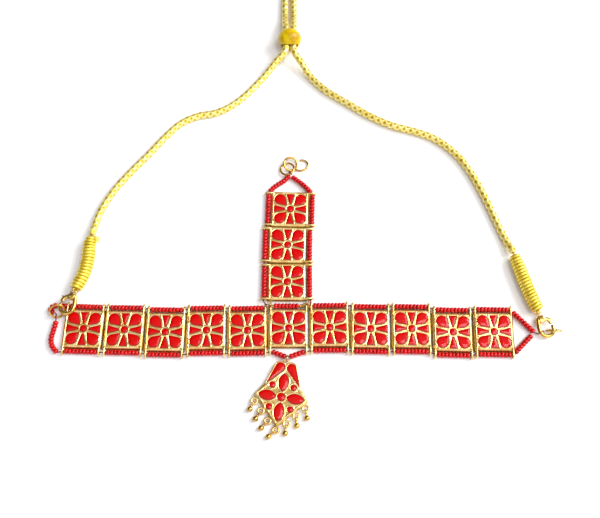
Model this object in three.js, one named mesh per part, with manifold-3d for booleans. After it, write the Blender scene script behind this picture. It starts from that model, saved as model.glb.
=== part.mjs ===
// Maang tikka: an enamelled head ornament with a brow band of eleven square
// tiles, a parting strip of three, a fringed drop and a tie cord with a bead.
// Millimetres. It lies on the surface z = 0, +X to the right, +Y away from
// the wearer's brow, with the origin under the middle of the centre tile.

import * as THREE from "three";
import { mergeVertices } from "three/addons/utils/BufferGeometryUtils.js";
import Module from "manifold-3d";

const wasm = await Module();
wasm.setup();

// Clearance between pieces that touch on the real object
const clearance = 0.3;

// Tiles
const tileSide = 17.7;
const tileGap = 0.65;
const tileEdge = 1.4;
const tileThickness = 2.3;
const cellDepth = 0.25;
const borderWidth = 1.45;
const rimWidth = 0.45;
const petalRadius = 2.35;
const petalTip = 2.05;
const petalWaist = 0.82;
const petalSides = 3;
const dotRadius = 1.5;
const dotSides = 6;

// Corner loops of the tiles
const loopInset = 0.8;
const loopWire = 0.66;
const loopSides = 10;
const loopSteps = 4;
const wireSides = 5;

// Seed beads and their thread
const beadDiameter = 2.5;
const beadsPerRun = 9;
const threadDiameter = 0.56;
const runSides = 8;
const threadSides = 4;
const spacerDiameter = 1.9;
const spacerRun = 2.1;
const crimpDiameter = 1.2;
const crimpLength = 1.1;

// Jump rings
const ringDiameter = 7.4;
const ringWire = 0.8;
const eyeDiameter = 7.4;
const hookWire = 0.9;
const stripRingHeight = 4.5;
const stripRingDepth = 3.4;
const stripRingWire = 0.5;
const ringSides = 12;

// Drop
const dropHalfWidth = 10.8;
const dropHalfHeight = 12;
const dropBorder = 1.3;
const dropThickness = 2.2;
const petalWidth = 4.6;
const dropDotRadius = 1.6;
const lobeRadius = 2.1;
const lobeTop = 15.3;
const lobeOffset = 2.3;
const fringeDiameter = 3.6;
const fringeWire = 0.6;
const fringeHeight = 1.3;
const fringePitch = 5.25;
const ballDiameter = 2.6;
const ballEyeDiameter = 2.15;
const ballEyeWire = 0.45;
const ballReach = 4.1;
const dropEyeDiameter = 2.8;
const bailDiameter = 3.5;
const bailWire = 0.55;

// Lobster clasps
const clawRadius = 3.1;
const armDiameter = 1.6;
const headRadius = 1.6;
const headThickness = 2.2;
const pivotHeight = 4.7;
const pivotOffset = 0.55;
const pinDiameter = 0.8;
const leverThickness = 0.8;
const leverWidth = 1.3;
const leverHubDiameter = 2.3;
const claspEyeDiameter = 3;
const claspEyeWire = 0.65;
const tipAngle = 22;

// Tie cord, its thread wraps and the sliding bead
const cordDiameter = 3.4;
const cordSides = 8;
const wrapDiameter = 6.2;
const wrapSides = 10;
const sliderDiameter = 11.6;
const sliderFlat = 0.92;
const sliderPlay = 0.8;
const sliderPlace = [0, 149.4];
const cordAside = 1.85;
const tieLoopWire = 0.9;

// Sizes that follow from the tiles and the beads
const tilePitch = tileSide + tileGap;
const petalCentre = tileSide * 0.3644;
const loopAlong = tileSide / 2 - loopInset;
const runHalf = loopAlong - loopWire / 2 - clearance - 0.22;
const beadPitch = (2 * runHalf) / beadsPerRun;

// Heights of what lies on the surface, and how far out it lies
const stringHeight = beadDiameter / 2 + 0.1;
const stringOffset = tileSide / 2 + clearance + beadDiameter / 2;
const loopReach = stringOffset - tileSide / 2 - 0.05;
const loopHeight = 2 * stringHeight - 0.04;
const wrapHeight = wrapDiameter / 2 + 0.1;
const cordHeight = cordDiameter / 2 + 0.1;
const claspEyeHeight = pivotHeight + headRadius + claspEyeDiameter / 2 - 0.15;
const claspReach = claspEyeHeight + claspEyeDiameter / 2;
const stripBase = stringOffset + loopReach + loopWire / 2 + 2.5 * clearance;

// Band tiles from left to right: sideways rise as a share of the tile's side, turn in degrees
const bandTiles = [
  { rise: -0.017, turn: -2 },
  { rise: -0.045, turn: -1 },
  { rise: -0.1, turn: -0.9 },
  { rise: -0.056, turn: 1 },
  { rise: -0.062, turn: 1.2 },
  { rise: 0, turn: 0 },
  { rise: 0.017, turn: 0.4 },
  { rise: -0.017, turn: -1.2 },
  { rise: -0.017, turn: -1 },
  { rise: -0.107, turn: -1.5 },
  { rise: -0.096, turn: -1.2 },
];

// Strip tiles from the band upward: sideways shift as a share of the tile's side, turn in degrees
const stripTiles = [
  { shift: -0.045, turn: 0 },
  { shift: -0.039, turn: -1.2 },
  { shift: 0.028, turn: -1.4 },
];

// Chosen route points of the free stretches of the bead strings and of the tie cord
const routes = {
  leftLoopStart: [
    [-2, -11, 0],
    [-4.2, -8.6, 0],
    [-5.2, -5.4, 0],
    [-4.7, -1.8, 0],
    [-4, 1.4, 0],
    [-3.7, 3.2, 0.35],
  ],
  leftLoopOverRing: [
    [-3.8, 3.3, 0.35],
    [-3.75, 4.4, 0.65],
    [-3.75, 5.4, 0.8],
    [-3.85, 6.2, 0.4],
    [-4.2, 6.9, 0],
    [-4.8, 7.2, 0],
  ],
  leftLoopEnd: [
    [-5.2, 7.3, 0],
    [-6.5, 7.8, 0],
    [-6.8, 9.3, 0],
    [-5.6, 10.4, 0],
    [-4, 10.7, 0],
  ],
  rightApex: [[9.3, -2, 0]],
  topLeftLeg: [
    [-7.9, 1.92, 0],
    [-5.2, 4.22, 0],
    [-3, 5.52, 0],
    [-1.2, 7.32, 0],
  ],
  topRightLeg: [
    [8.4, 2.32, 0],
    [4.9, 5.52, 0],
    [2, 7.42, 0],
  ],
  centreApex: [[-0.25, -3, 0.25]],
  hook: [
    [2.6, 12.37, 0.65],
    [5, 11.82, 0.6],
    [7.2, 12.22, 0.6],
    [8.7, 13.52, 0.6],
    [9, 15.22, 0.6],
    [8.1, 16.72, 0.6],
    [6.4, 17.42, 0.6],
    [4.9, 17.22, 0.6],
  ],
  leftWrap: [
    [6.2, 22.6, 0],
    [7.7, 27.4, 0],
    [8.5, 33, 0],
    [8.6, 38.6, 0],
    [9.2, 43.6, 0],
  ],
  rightWrap: [
    [9.9, 12.1, 0],
    [8, 17.6, 0],
    [6, 24.2, 0],
    [4.2, 30.5, 0],
    [3.1, 34.6, 0],
  ],
  leftCord: [
    [-0.9081, 44, 1.3],
    [-0.9061, 45.8, 1.3],
    [-0.8996, 49.5, 0.2],
    [-0.8877, 54.5, 0],
    [-0.8608, 60.9, 0],
    [-0.8161, 68.8, 0],
    [-0.7545, 77, 0],
    [-0.67, 87, 0],
    [-0.5994, 96, 0],
    [-0.5229, 103.8, 0],
    [-0.4433, 107.7, 0],
    [-0.3638, 109.3, 0],
    [-0.2922, 112.8, 0],
    [-0.2276, 118, 0],
    [-0.174, 124, 0],
    [-0.1193, 130.6, 0.3],
    [-0.0696, 136.8, 2.2],
    [-0.0258, 141.6, 3.9],
    [-0.0184, 144.2, 4.1],
    [-0.0184, 149.4, 4.1],
    [-0.0184, 154.6, 4.1],
    [-0.0209, 157.6, 3.6],
    [-0.0249, 164.5, 0.5],
    [-0.0249, 173, 0],
    [-0.0229, 184, 0],
  ],
  rightCord: [
    [1.0293, 35, 1.3],
    [1.0239, 36.7, 1.3],
    [1.006, 41, 0.2],
    [0.9742, 49.4, 0],
    [0.9404, 59, 0],
    [0.9046, 68.2, 0],
    [0.8628, 77.2, 0],
    [0.8151, 84.8, 0],
    [0.7555, 91.2, 0],
    [0.6879, 95.9, 0],
    [0.6163, 98.8, 0],
    [0.499, 102.4, 0],
    [0.3897, 107.8, 0],
    [0.2823, 115, 0],
    [0.1809, 122, 0],
    [0.1054, 129.6, 0.3],
    [0.0616, 136.2, 2.2],
    [0.0258, 141.4, 3.9],
    [0.0184, 144.2, 4.1],
    [0.0184, 149.4, 4.1],
    [0.0184, 154.6, 4.1],
    [0.0194, 157.6, 3.6],
    [0.0199, 164.5, 0.5],
    [0.0189, 173, 0],
    [0.0179, 184, 0],
  ],
};

// Placing of the rings and clasps: place in mm, slopes as rise per mm, angles in degrees
const claspLeft = { place: [1.1, 9.3, 3.8], lean: -17.5, side: -1 };
const claspRight = { place: [14.8, -0.7, 2.05], lean: 20, side: 1 };
const leftRing = { place: [-3, 7.4, 3.5], slope: [-0.486, 1.344] };
const rightRing = { place: [17.6, -1.65, 3.55], slope: [0, -2.75] };
const topRing = { place: [-1, 12.42, 1.24], slope: [0.156, -0.15] };
const hookEye = { place: [0.7, 15.02, 1.26], slope: [-0.21, 0.14] };
const dropPlace = { place: [-3.05, -20.6, 0], turn: -8.9 };

// The left and right points and places count from the band's ends, the top ones from the strip's top and
// those of the drop from the lower string; the cords' X is a share of the band's half width
const bandEdge = ((bandTiles.length - 1) / 2) * tilePitch + tileSide / 2;
const stripTop = stripBase + stripTiles.length * tileSide + (stripTiles.length - 1) * clearance;
function carry(places, x, y) {
  places.forEach((place) => {
    place[0] += x;
    place[1] += y;
  });
}
carry([claspLeft.place, leftRing.place, ...routes.leftWrap], -bandEdge, 0);
carry([...routes.leftLoopStart, ...routes.leftLoopOverRing, ...routes.leftLoopEnd], -bandEdge, 0);
carry([claspRight.place, rightRing.place, ...routes.rightApex, ...routes.rightWrap], bandEdge, 0);
carry([topRing.place, hookEye.place, ...routes.hook], 0, stripTop);
carry([...routes.topLeftLeg, ...routes.topRightLeg], 0, stripTop);
carry([dropPlace.place, ...routes.centreApex], 0, -stringOffset);
[...routes.leftCord, ...routes.rightCord].forEach((place) => {
  place[0] *= bandEdge;
});

// Materials
const gold = { color: 0xd9b44a, metalness: 1, roughness: 0.22 };
const enamel = { color: 0xc01414, metalness: 0, roughness: 0.25 };
const thread = { color: 0xe0c63c, metalness: 0.4, roughness: 0.5 };
const amber = { color: 0xe2b53a, metalness: 0.1, roughness: 0.2 };

function solid(geometry) {
  const bare = geometry.clone();
  bare.deleteAttribute("normal");
  bare.deleteAttribute("uv");
  const merged = mergeVertices(bare, 1e-5);
  const corners = merged.index.array;
  const kept = [];
  for (let i = 0; i < corners.length; i += 3) {
    const [a, b, c] = [corners[i], corners[i + 1], corners[i + 2]];
    if (a !== b && b !== c && c !== a) kept.push(a, b, c);
  }
  const mesh = new wasm.Mesh({
    numProp: 3,
    vertProperties: new Float32Array(merged.attributes.position.array),
    triVerts: new Uint32Array(kept),
  });
  return new wasm.Manifold(mesh);
}

function join(...geometries) {
  return geometries.map(solid).reduce((whole, next) => whole.add(next));
}

function surface(manifold) {
  const mesh = manifold.getMesh();
  const geometry = new THREE.BufferGeometry();
  geometry.setAttribute("position", new THREE.BufferAttribute(mesh.vertProperties, 3));
  geometry.setIndex(new THREE.BufferAttribute(mesh.triVerts, 1));
  geometry.computeVertexNormals();
  return geometry;
}

const group = new THREE.Group();

function add(name, manifold, look) {
  const mesh = new THREE.Mesh(surface(manifold), new THREE.MeshStandardMaterial(look));
  mesh.name = name;
  group.add(mesh);
  return mesh;
}

const point = (p) => new THREE.Vector3(p[0], p[1], p[2]);

// Straight round bar from one point to another
function rod(from, to, diameter, sides) {
  const along = to.clone().sub(from);
  const bar = new THREE.CylinderGeometry(diameter / 2, diameter / 2, along.length(), sides);
  const upright = new THREE.Vector3(0, 1, 0);
  bar.applyQuaternion(new THREE.Quaternion().setFromUnitVectors(upright, along.clone().normalize()));
  const middle = from.clone().add(to).multiplyScalar(0.5);
  bar.translate(middle.x, middle.y, middle.z);
  return bar;
}

// Round bar along a smooth curve through the points
function tube(points, diameter, sides, steps) {
  const outline = new THREE.Shape();
  for (let i = 0; i < sides; i += 1) {
    const angle = (2 * Math.PI * i) / sides;
    const x = (diameter / 2) * Math.cos(angle);
    const y = (diameter / 2) * Math.sin(angle);
    if (i === 0) outline.moveTo(x, y);
    else outline.lineTo(x, y);
  }
  const places = points.map((p) => (p.isVector3 ? p : point(p)));
  const path = new THREE.CatmullRomCurve3(places, false, "centripetal");
  return new THREE.ExtrudeGeometry(outline, { extrudePath: path, steps, bevelEnabled: false });
}

// Ring of round wire whose plane rises by the slope; diameter is the outer one
function ring(placing, diameter, wire, sides = ringSides) {
  const geometry = new THREE.TorusGeometry((diameter - wire) / 2, wire / 2, wireSides, sides);
  const upright = new THREE.Vector3(-placing.slope[0], -placing.slope[1], 1).normalize();
  geometry.applyQuaternion(new THREE.Quaternion().setFromUnitVectors(new THREE.Vector3(0, 0, 1), upright));
  geometry.translate(...placing.place);
  return geometry;
}

// Points of an arc, angles in degrees
function arcPoints(x, y, radius, from, to, count) {
  const list = [];
  for (let i = 0; i <= count; i += 1) {
    const angle = THREE.MathUtils.degToRad(from + ((to - from) * i) / count);
    list.push(new THREE.Vector2(x + radius * Math.cos(angle), y + radius * Math.sin(angle)));
  }
  return list;
}

function moved(geometry, matrix) {
  const copy = geometry.clone();
  copy.applyMatrix4(matrix);
  return copy;
}

function placeMatrix(place, turn) {
  const matrix = new THREE.Matrix4().makeRotationZ(THREE.MathUtils.degToRad(turn));
  matrix.setPosition(...place);
  return matrix;
}

// One tile: bevelled plate, sunk enamel cells and four soldered corner loops
function petalOutline(angle) {
  const centre = new THREE.Vector2(petalCentre, 0);
  const reach = Math.acos(petalRadius / (petalCentre - petalTip)) * petalWaist;
  const outline = [new THREE.Vector2(petalTip, 0)];
  for (let i = 0; i <= petalSides; i += 1) {
    const sweep = -Math.PI + reach + ((2 * (Math.PI - reach)) * i) / petalSides;
    outline.push(new THREE.Vector2(Math.cos(sweep), Math.sin(sweep)).multiplyScalar(petalRadius).add(centre));
  }
  outline.forEach((p) => p.rotateAround(new THREE.Vector2(0, 0), angle));
  return outline;
}

// Cutter that sinks a cell of this outline into a top face at the height
function cellCutter(outline, height) {
  const shape = new THREE.Shape(outline);
  const cutter = new THREE.ExtrudeGeometry(shape, { depth: 2 * cellDepth, bevelEnabled: false });
  return cutter.translate(0, 0, height - cellDepth);
}

function tilePlate() {
  const profile = [
    [0, 0],
    [tileSide / 2, 0],
    [tileSide / 2, tileEdge],
    [tileSide / 2 - borderWidth + rimWidth, tileThickness],
    [0, tileThickness],
  ].map(([r, z]) => new THREE.Vector2(r * Math.SQRT2, z));
  const plate = new THREE.LatheGeometry(profile, 4, Math.PI / 4);
  plate.rotateX(Math.PI / 2);
  const cells = [0, 1, 2, 3].map((i) => petalOutline(Math.PI / 4 + (i * Math.PI) / 2));
  cells.push(arcPoints(0, 0, dotRadius, 0, 360 - 360 / dotSides, dotSides - 1));
  const cut = (left, outline) => left.subtract(solid(cellCutter(outline, tileThickness)));
  return cells.reduce(cut, solid(plate));
}

// Upright oval ring of wire, seen along X; the half sizes reach to the wire's middle line
function uprightOval(halfDepth, halfHeight, wire, sides) {
  const wireRing = new THREE.TorusGeometry(1, wire / 2, wireSides, sides);
  const positions = wireRing.attributes.position;
  for (let i = 0; i < positions.count; i += 1) {
    const x = positions.getX(i);
    const y = positions.getY(i);
    const radius = Math.hypot(x, y);
    positions.setXY(i, (x / radius) * (radius - 1 + halfHeight), (y / radius) * (radius - 1 + halfDepth));
  }
  return wireRing.rotateY(Math.PI / 2);
}

// Wire bent over the thread from the tile's top border to its side, with both ends soldered in
function cornerLoop(along, side) {
  const lift = (loopHeight - loopWire) / 2;
  const edge = tileSide / 2;
  const outer = stringOffset + loopReach;
  const at = (aside, rise) => new THREE.Vector3(along, side * aside, stringHeight + rise * lift);
  const shoulder = loopReach * 0.25;
  return tube(
    [
      at(edge - borderWidth, 0.5),
      at(edge, 0.96),
      at(stringOffset, 1),
      at(outer - shoulder, 0.66),
      at(outer, 0),
      at(outer - shoulder, -0.66),
      at(stringOffset, -1),
      at(edge - clearance, -1),
    ],
    loopWire,
    wireSides,
    loopSteps,
  );
}

function tileSolid() {
  const loops = [-1, 1].flatMap((a) => [-1, 1].map((side) => cornerLoop(a * loopAlong, side)));
  return loops.map(solid).reduce((whole, next) => whole.add(next), tilePlate());
}

const tileGeometry = surface(tileSolid());
const tileMatrices = { band: [], strip: [] };
bandTiles.forEach((row, i) => {
  const x = (i - (bandTiles.length - 1) / 2) * tilePitch;
  tileMatrices.band.push(placeMatrix([x, row.rise * tileSide, 0], row.turn));
});
stripTiles.forEach((row, i) => {
  const y = stripBase + tileSide / 2 + i * (tileSide + clearance);
  tileMatrices.strip.push(placeMatrix([row.shift * tileSide, y, 0], 90 + row.turn));
});
for (const [line, matrices] of Object.entries(tileMatrices)) {
  matrices.forEach((matrix, i) => {
    const mesh = new THREE.Mesh(tileGeometry, new THREE.MeshStandardMaterial(gold));
    mesh.name = `${line}_tile_${i + 1}`;
    mesh.applyMatrix4(matrix);
    group.add(mesh);
  });
}

// Bead strings: bead runs joined by the thread that passes through the corner loops
function runAt(matrix, aside, from = -runHalf, to = runHalf) {
  const end = (along) => new THREE.Vector3(along, aside, stringHeight).applyMatrix4(matrix);
  return { from: end(from), to: end(to), diameter: beadDiameter };
}

function beadRun(run) {
  const sides = run.diameter > threadDiameter ? runSides : threadSides;
  return rod(run.from, run.to, run.diameter, sides);
}

function threadBetween(a, b) {
  const along = b.clone().sub(a).normalize().multiplyScalar(clearance);
  return rod(a.clone().sub(along), b.clone().add(along), threadDiameter, threadSides);
}

function beadString(pieces) {
  const parts = [];
  pieces.forEach((piece, i) => {
    parts.push(piece.tube ? tube(piece.points, piece.diameter, piece.sides, piece.steps) : beadRun(piece));
    const next = pieces[i + 1];
    if (next) parts.push(threadBetween(piece.to, next.from));
  });
  return join(...parts);
}

function bent(points, diameter, sides, steps) {
  const list = points.map((p) => (p.isVector3 ? p : point(p)));
  return { tube: true, points: list, from: list[0], to: list[list.length - 1], diameter, sides, steps };
}

// Thread where it passes straight through a corner loop
function throughLoop(loop) {
  const half = new THREE.Vector3(threadDiameter / 2, 0, 0);
  return { from: loop.clone().sub(half), to: loop.clone().add(half), diameter: threadDiameter };
}

const lerp = (a, b, share) => a.clone().lerp(b, share);
const bandLoop = (i, along, aside) =>
  new THREE.Vector3(along * loopAlong, aside * stringOffset, stringHeight).applyMatrix4(tileMatrices.band[i]);
const lastTile = bandTiles.length - 1;
const centreTile = lastTile / 2;
const past = loopWire / 2 + clearance;
const slantPast = past + beadDiameter / 2;
const cornerPast = Math.hypot(loopInset, stringOffset - tileSide / 2) + 3 * clearance;
const raised = (path, height) => path.map(([x, y, z]) => new THREE.Vector3(x, y, z + height));

function legRun(start, end, startInset, endInset) {
  const length = start.distanceTo(end);
  const from = lerp(start, end, startInset / length);
  const to = lerp(start, end, 1 - endInset / length);
  return { from, to, diameter: beadDiameter };
}

// Claw frame: from the clasp's own flat frame, eye toward +Y, lever toward +X
function claspMatrix(clasp) {
  const matrix = placeMatrix(clasp.place, clasp.lean);
  return matrix.multiply(new THREE.Matrix4().makeScale(clasp.side, 1, 1));
}

// Thread round the claw's back arm, in the plane across the arm
function turnRoundArm(clasp, angle, radius, sweeps) {
  const matrix = claspMatrix(clasp);
  const radial = THREE.MathUtils.degToRad(angle);
  return sweeps.map((sweep) => {
    const phi = THREE.MathUtils.degToRad(sweep);
    const reach = clawRadius - radius * Math.cos(phi);
    const [x, y] = [reach * Math.cos(radial), reach * Math.sin(radial)];
    return new THREE.Vector3(x, y, radius * Math.sin(phi)).applyMatrix4(matrix);
  });
}

const armTurn = turnRoundArm(claspRight, 187, armDiameter / 2 + clearance + threadDiameter / 2, [
  -150, -90, -45, 0, 45, 90, 140,
]);
const [rightApex] = raised(routes.rightApex, stringHeight);
const legGap = beadDiameter * 0.8;
const rightTopLeg = legRun(bandLoop(lastTile, 1, 1), rightApex, cornerPast, legGap);
const rightBottomLeg = legRun(bandLoop(lastTile, 1, -1), rightApex, cornerPast, legGap);
const spacerEnd = runHalf - 0.1;
const spacerStart = spacerEnd - spacerRun;
const centreRun = runAt(tileMatrices.band[centreTile], stringOffset, 0.6 - runHalf, spacerStart - 0.4);
const centreSpacers = runAt(tileMatrices.band[centreTile], stringOffset, spacerStart, spacerEnd);
centreSpacers.diameter = spacerDiameter;

const leftLoopEnd = raised(routes.leftLoopEnd, stringHeight);
const topPieces = [
  bent(leftLoopEnd, beadDiameter, runSides, 7),
  legRun(leftLoopEnd[leftLoopEnd.length - 1], bandLoop(0, -1, 1), beadPitch - clearance, past),
];
bandTiles.forEach((row, i) => {
  if (i === centreTile) topPieces.push(centreRun, centreSpacers);
  else topPieces.push(runAt(tileMatrices.band[i], stringOffset));
});
topPieces.push(throughLoop(bandLoop(lastTile, 1, 1)), rightTopLeg);
topPieces.push(bent(armTurn, threadDiameter, threadSides, 8));
add("band_string_top", beadString(topPieces), enamel);

const [centreApex] = raised(routes.centreApex, stringHeight);
const centreGap = beadDiameter * 0.84;
const leftKink = raised(routes.leftLoopOverRing, stringHeight);
const bottomPieces = [
  bent(leftKink.reverse(), threadDiameter, threadSides, 9),
  bent(raised(routes.leftLoopStart, stringHeight).reverse(), beadDiameter, runSides, 6),
];
bandTiles.forEach((row, i) => {
  if (i === centreTile) {
    const [downLoop, upLoop] = [bandLoop(i, -1, -1), bandLoop(i, 1, -1)];
    const down = legRun(downLoop, centreApex, slantPast, centreGap);
    const up = legRun(centreApex, upLoop, centreGap, slantPast);
    const turn = [0.1, 0.85].map((share) => lerp(down.to, centreApex, share));
    turn.push(...[0.85, 0.1].map((share) => lerp(up.from, centreApex, share)));
    bottomPieces.push(throughLoop(downLoop), down, bent(turn, threadDiameter, threadSides, 5));
    bottomPieces.push(up, throughLoop(upLoop));
  } else bottomPieces.push(runAt(tileMatrices.band[i], -stringOffset));
});
bottomPieces.push(throughLoop(bandLoop(lastTile, 1, -1)), rightBottomLeg);
add("band_string_bottom", beadString(bottomPieces), enamel);

// Strip strings: from a crimp in the junction ring up through the strip's loops to the top ring
function stripLoop(i, along, aside) {
  const loop = new THREE.Vector3(along * loopAlong, -aside * stringOffset, stringHeight);
  return loop.applyMatrix4(tileMatrices.strip[i]);
}
const topOfStrip = stripTiles.length - 1;
const stripRings = [-1, 1].map((side) => {
  const thread = lerp(bandLoop(centreTile, side, 1), bandLoop(centreTile + side, -side, 1), 0.5);
  return { side, centre: new THREE.Vector3(thread.x, thread.y, stripRingHeight / 2 + 0.1) };
});
stripRings.forEach(({ side, centre }) => {
  const halfDepth = (stripRingDepth - stripRingWire) / 2;
  const hoop = uprightOval(halfDepth, (stripRingHeight - stripRingWire) / 2, stripRingWire, ringSides);
  hoop.translate(centre.x, centre.y, centre.z);
  add(side < 0 ? "strip_ring_left" : "strip_ring_right", solid(hoop), gold);
});

const tailHeight = stripRingHeight - stripRingWire - clearance - threadDiameter / 2;
function stripTail(side, centre) {
  const loop = stripLoop(0, -1, side);
  const at = (along, aside, z) => new THREE.Vector3(centre.x + side * along, centre.y + aside, z);
  return [
    at(-1.5, -0.1, tailHeight + 0.1),
    at(-0.6, 0.1, tailHeight),
    at(0, 0.2, tailHeight),
    at(0.7, 0.55, tailHeight - 0.05),
    new THREE.Vector3(centre.x * 0.4 + loop.x * 0.6 + side * 0.7, loop.y - 1.9, tailHeight - 0.6),
    new THREE.Vector3(loop.x + side * 0.15, loop.y - 0.9, loop.z + 0.55),
    loop,
    new THREE.Vector3(loop.x, loop.y + past, loop.z),
  ];
}

const topRingPlane = (x, y) =>
  topRing.place[2] + topRing.slope[0] * (x - topRing.place[0]) + topRing.slope[1] * (y - topRing.place[1]);
const ringLine = (ringDiameter - ringWire) / 2;
const hold = new THREE.Vector3(topRing.place[0] + ringLine * 0.45, topRing.place[1] - ringLine * 0.89, 0);
hold.z = topRingPlane(hold.x, hold.y);
const turnRadius = ringWire / 2 + 1.4 * clearance + threadDiameter / 2;
const topTurn = [-150, -90, -45, 0, 45, 90, 150].map((sweep, i) => {
  const phi = THREE.MathUtils.degToRad(sweep);
  const along = (i - 3) * 0.14;
  return new THREE.Vector3(
    hold.x + along - 0.45 * turnRadius * Math.cos(phi),
    hold.y + 0.89 * turnRadius * Math.cos(phi),
    hold.z + turnRadius * Math.sin(phi),
  );
});

stripRings.forEach(({ side, centre }) => {
  const tailPoints = stripTail(side, centre);
  const crimpEnd = tailPoints[0].clone().add(new THREE.Vector3(-side * crimpLength, 0, 0));
  const crimp = { from: crimpEnd, to: tailPoints[0], diameter: crimpDiameter };
  const tail = bent(tailPoints, threadDiameter, threadSides, 11);
  const pieces = [crimp, tail];
  stripTiles.forEach((row, i) => pieces.push(runAt(tileMatrices.strip[i], -side * stringOffset)));
  const leg = raised(side < 0 ? routes.topLeftLeg : routes.topRightLeg, stringHeight);
  const start = stripLoop(topOfStrip, 1, side);
  const first = lerp(start, leg[0], cornerPast / start.distanceTo(leg[0]));
  pieces.push(bent([first, ...leg], beadDiameter, runSides, 6));
  if (side < 0) pieces.push(bent(topTurn, threadDiameter, threadSides, 8));
  add(side < 0 ? "strip_string_left" : "strip_string_right", beadString(pieces), enamel);
});

// Top ring and the hair hook with its closed eye
add("top_ring", solid(ring(topRing, ringDiameter, ringWire)), gold);
const hookCurve = tube(routes.hook, hookWire, 6, 10);
add("hair_hook", join(ring(hookEye, eyeDiameter, hookWire), hookCurve), gold);

// Drop: kite with two lobes above it, a soldered eye and a fringe of rings
const dropMatrix = placeMatrix(dropPlace.place, dropPlace.turn);
function dropOutline() {
  const centreY = lobeTop - lobeRadius;
  const right = [
    ...arcPoints(lobeOffset, centreY, lobeRadius + dropBorder * 0.6, 135, 20, 5),
    new THREE.Vector2(dropHalfWidth * 0.74, dropHalfHeight * 0.44),
    new THREE.Vector2(dropHalfWidth + dropBorder, -0.3),
  ];
  const left = right.map((p) => new THREE.Vector2(-p.x, p.y)).reverse();
  const notch = new THREE.Vector2(0, centreY + 0.6);
  const foot = new THREE.Vector2(0, -dropHalfHeight - dropBorder);
  return new THREE.Shape([...right, foot, ...left, notch].reverse());
}

function pointedPetal(length, width, from, turn) {
  const outline = [new THREE.Vector2(0, from)];
  const bulge = (t) => (width / 2) * Math.sin(Math.PI * t);
  const half = (side, t) => new THREE.Vector2(side * bulge(t), from + length * t);
  outline.push(...[0.25, 0.5, 0.75].map((t) => half(1, t)));
  outline.push(new THREE.Vector2(0, from + length));
  outline.push(...[0.75, 0.5, 0.25].map((t) => half(-1, t)));
  outline.forEach((p) => p.rotateAround(new THREE.Vector2(0, 0), turn));
  return outline;
}

function lobeCell(side) {
  const outline = [
    ...arcPoints(lobeOffset + 0.25, lobeTop - lobeRadius, lobeRadius - 0.35, 190, 20, 5),
    new THREE.Vector2(dropHalfWidth * 0.66, dropHalfHeight * 0.43),
  ];
  return outline.map((p) => new THREE.Vector2(side * p.x, p.y));
}

const dropCells = [0, 1, 2, 3].map((i) => {
  const reach = i % 2 === 0 ? dropHalfHeight : dropHalfWidth;
  return pointedPetal(reach * 0.72, petalWidth, reach * 0.19, (i * Math.PI) / 2);
});
dropCells.push(lobeCell(1), lobeCell(-1).reverse(), arcPoints(0, 0, dropDotRadius, 0, 315, 7));
const dropPlate = dropCells.reduce(
  (left, outline) => left.subtract(solid(cellCutter(outline, dropThickness))),
  solid(new THREE.ExtrudeGeometry(dropOutline(), { depth: dropThickness, bevelEnabled: false })),
);
const flatAt = (x, y, z) => ({ place: [x, y, z], slope: [0, 0] });
const dropEyeAt = lobeTop + 0.5;
const edge = new THREE.Vector2(dropHalfHeight - 0.3, -dropHalfWidth).normalize();
const fringe = [-3, -2, -1, 0, 1, 2, 3].map((i) => {
  const side = Math.sign(i);
  const seat = dropBorder * 0.7 + fringeDiameter / 2 - 0.35;
  const along = new THREE.Vector2(dropHalfWidth, dropHalfHeight - 0.3).normalize();
  const step = fringePitch * (Math.abs(i) - 1) + fringePitch * 0.67;
  if (side === 0) return { i, x: 0, y: -dropHalfHeight - dropBorder - fringeDiameter / 2 + 0.75 };
  const out = { x: along.x * step + edge.x * seat, y: along.y * step + edge.y * seat };
  return { i, x: side * out.x, y: out.y - dropHalfHeight };
});
const fringeRing = ({ x, y }) => ring(flatAt(x, y, fringeHeight), fringeDiameter, fringeWire, loopSides);
const fringeRings = fringe.map(fringeRing);
const dropEye = ring(flatAt(0, dropEyeAt, fringeHeight), dropEyeDiameter, bailWire, loopSides);
const dropAll = dropPlate.add(join(dropEye, ...fringeRings));
add("drop", solid(moved(surface(dropAll), dropMatrix)), gold);

// Fringe balls, each on a small eye through its ring and lying at its own angle
const hangAngles = [-118, -124, -132, -138, -97, -84, -80];
fringe.forEach(({ i, x, y }) => {
  const seat = new THREE.Vector3(x, y, fringeHeight).applyMatrix4(dropMatrix);
  const hang = THREE.MathUtils.degToRad(hangAngles[i + 3]);
  const away = new THREE.Vector3(Math.cos(hang), Math.sin(hang), 0);
  const wire = (fringeDiameter - fringeWire) / 2;
  const eyeRadius = (ballEyeDiameter - ballEyeWire) / 2;
  const eyeAt = seat.clone().addScaledVector(away, wire + 0.05);
  const eye = new THREE.TorusGeometry(eyeRadius, ballEyeWire / 2, wireSides, loopSides);
  eye.rotateX(Math.PI / 2);
  eye.rotateZ(hang);
  eye.translate(eyeAt.x, eyeAt.y, eyeAt.z);
  const ball = new THREE.SphereGeometry(ballDiameter / 2, 10, 4);
  ball.rotateX(Math.PI / 2);
  const ballAt = seat.clone().addScaledVector(away, ballReach);
  ball.translate(ballAt.x, ballAt.y, ballDiameter / 2);
  const neck = rod(eyeAt.clone().addScaledVector(away, eyeRadius), ballAt, ballEyeWire * 2, wireSides);
  add(`fringe_ball_${i + 4}`, join(eye, ball, neck), gold);
});

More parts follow.
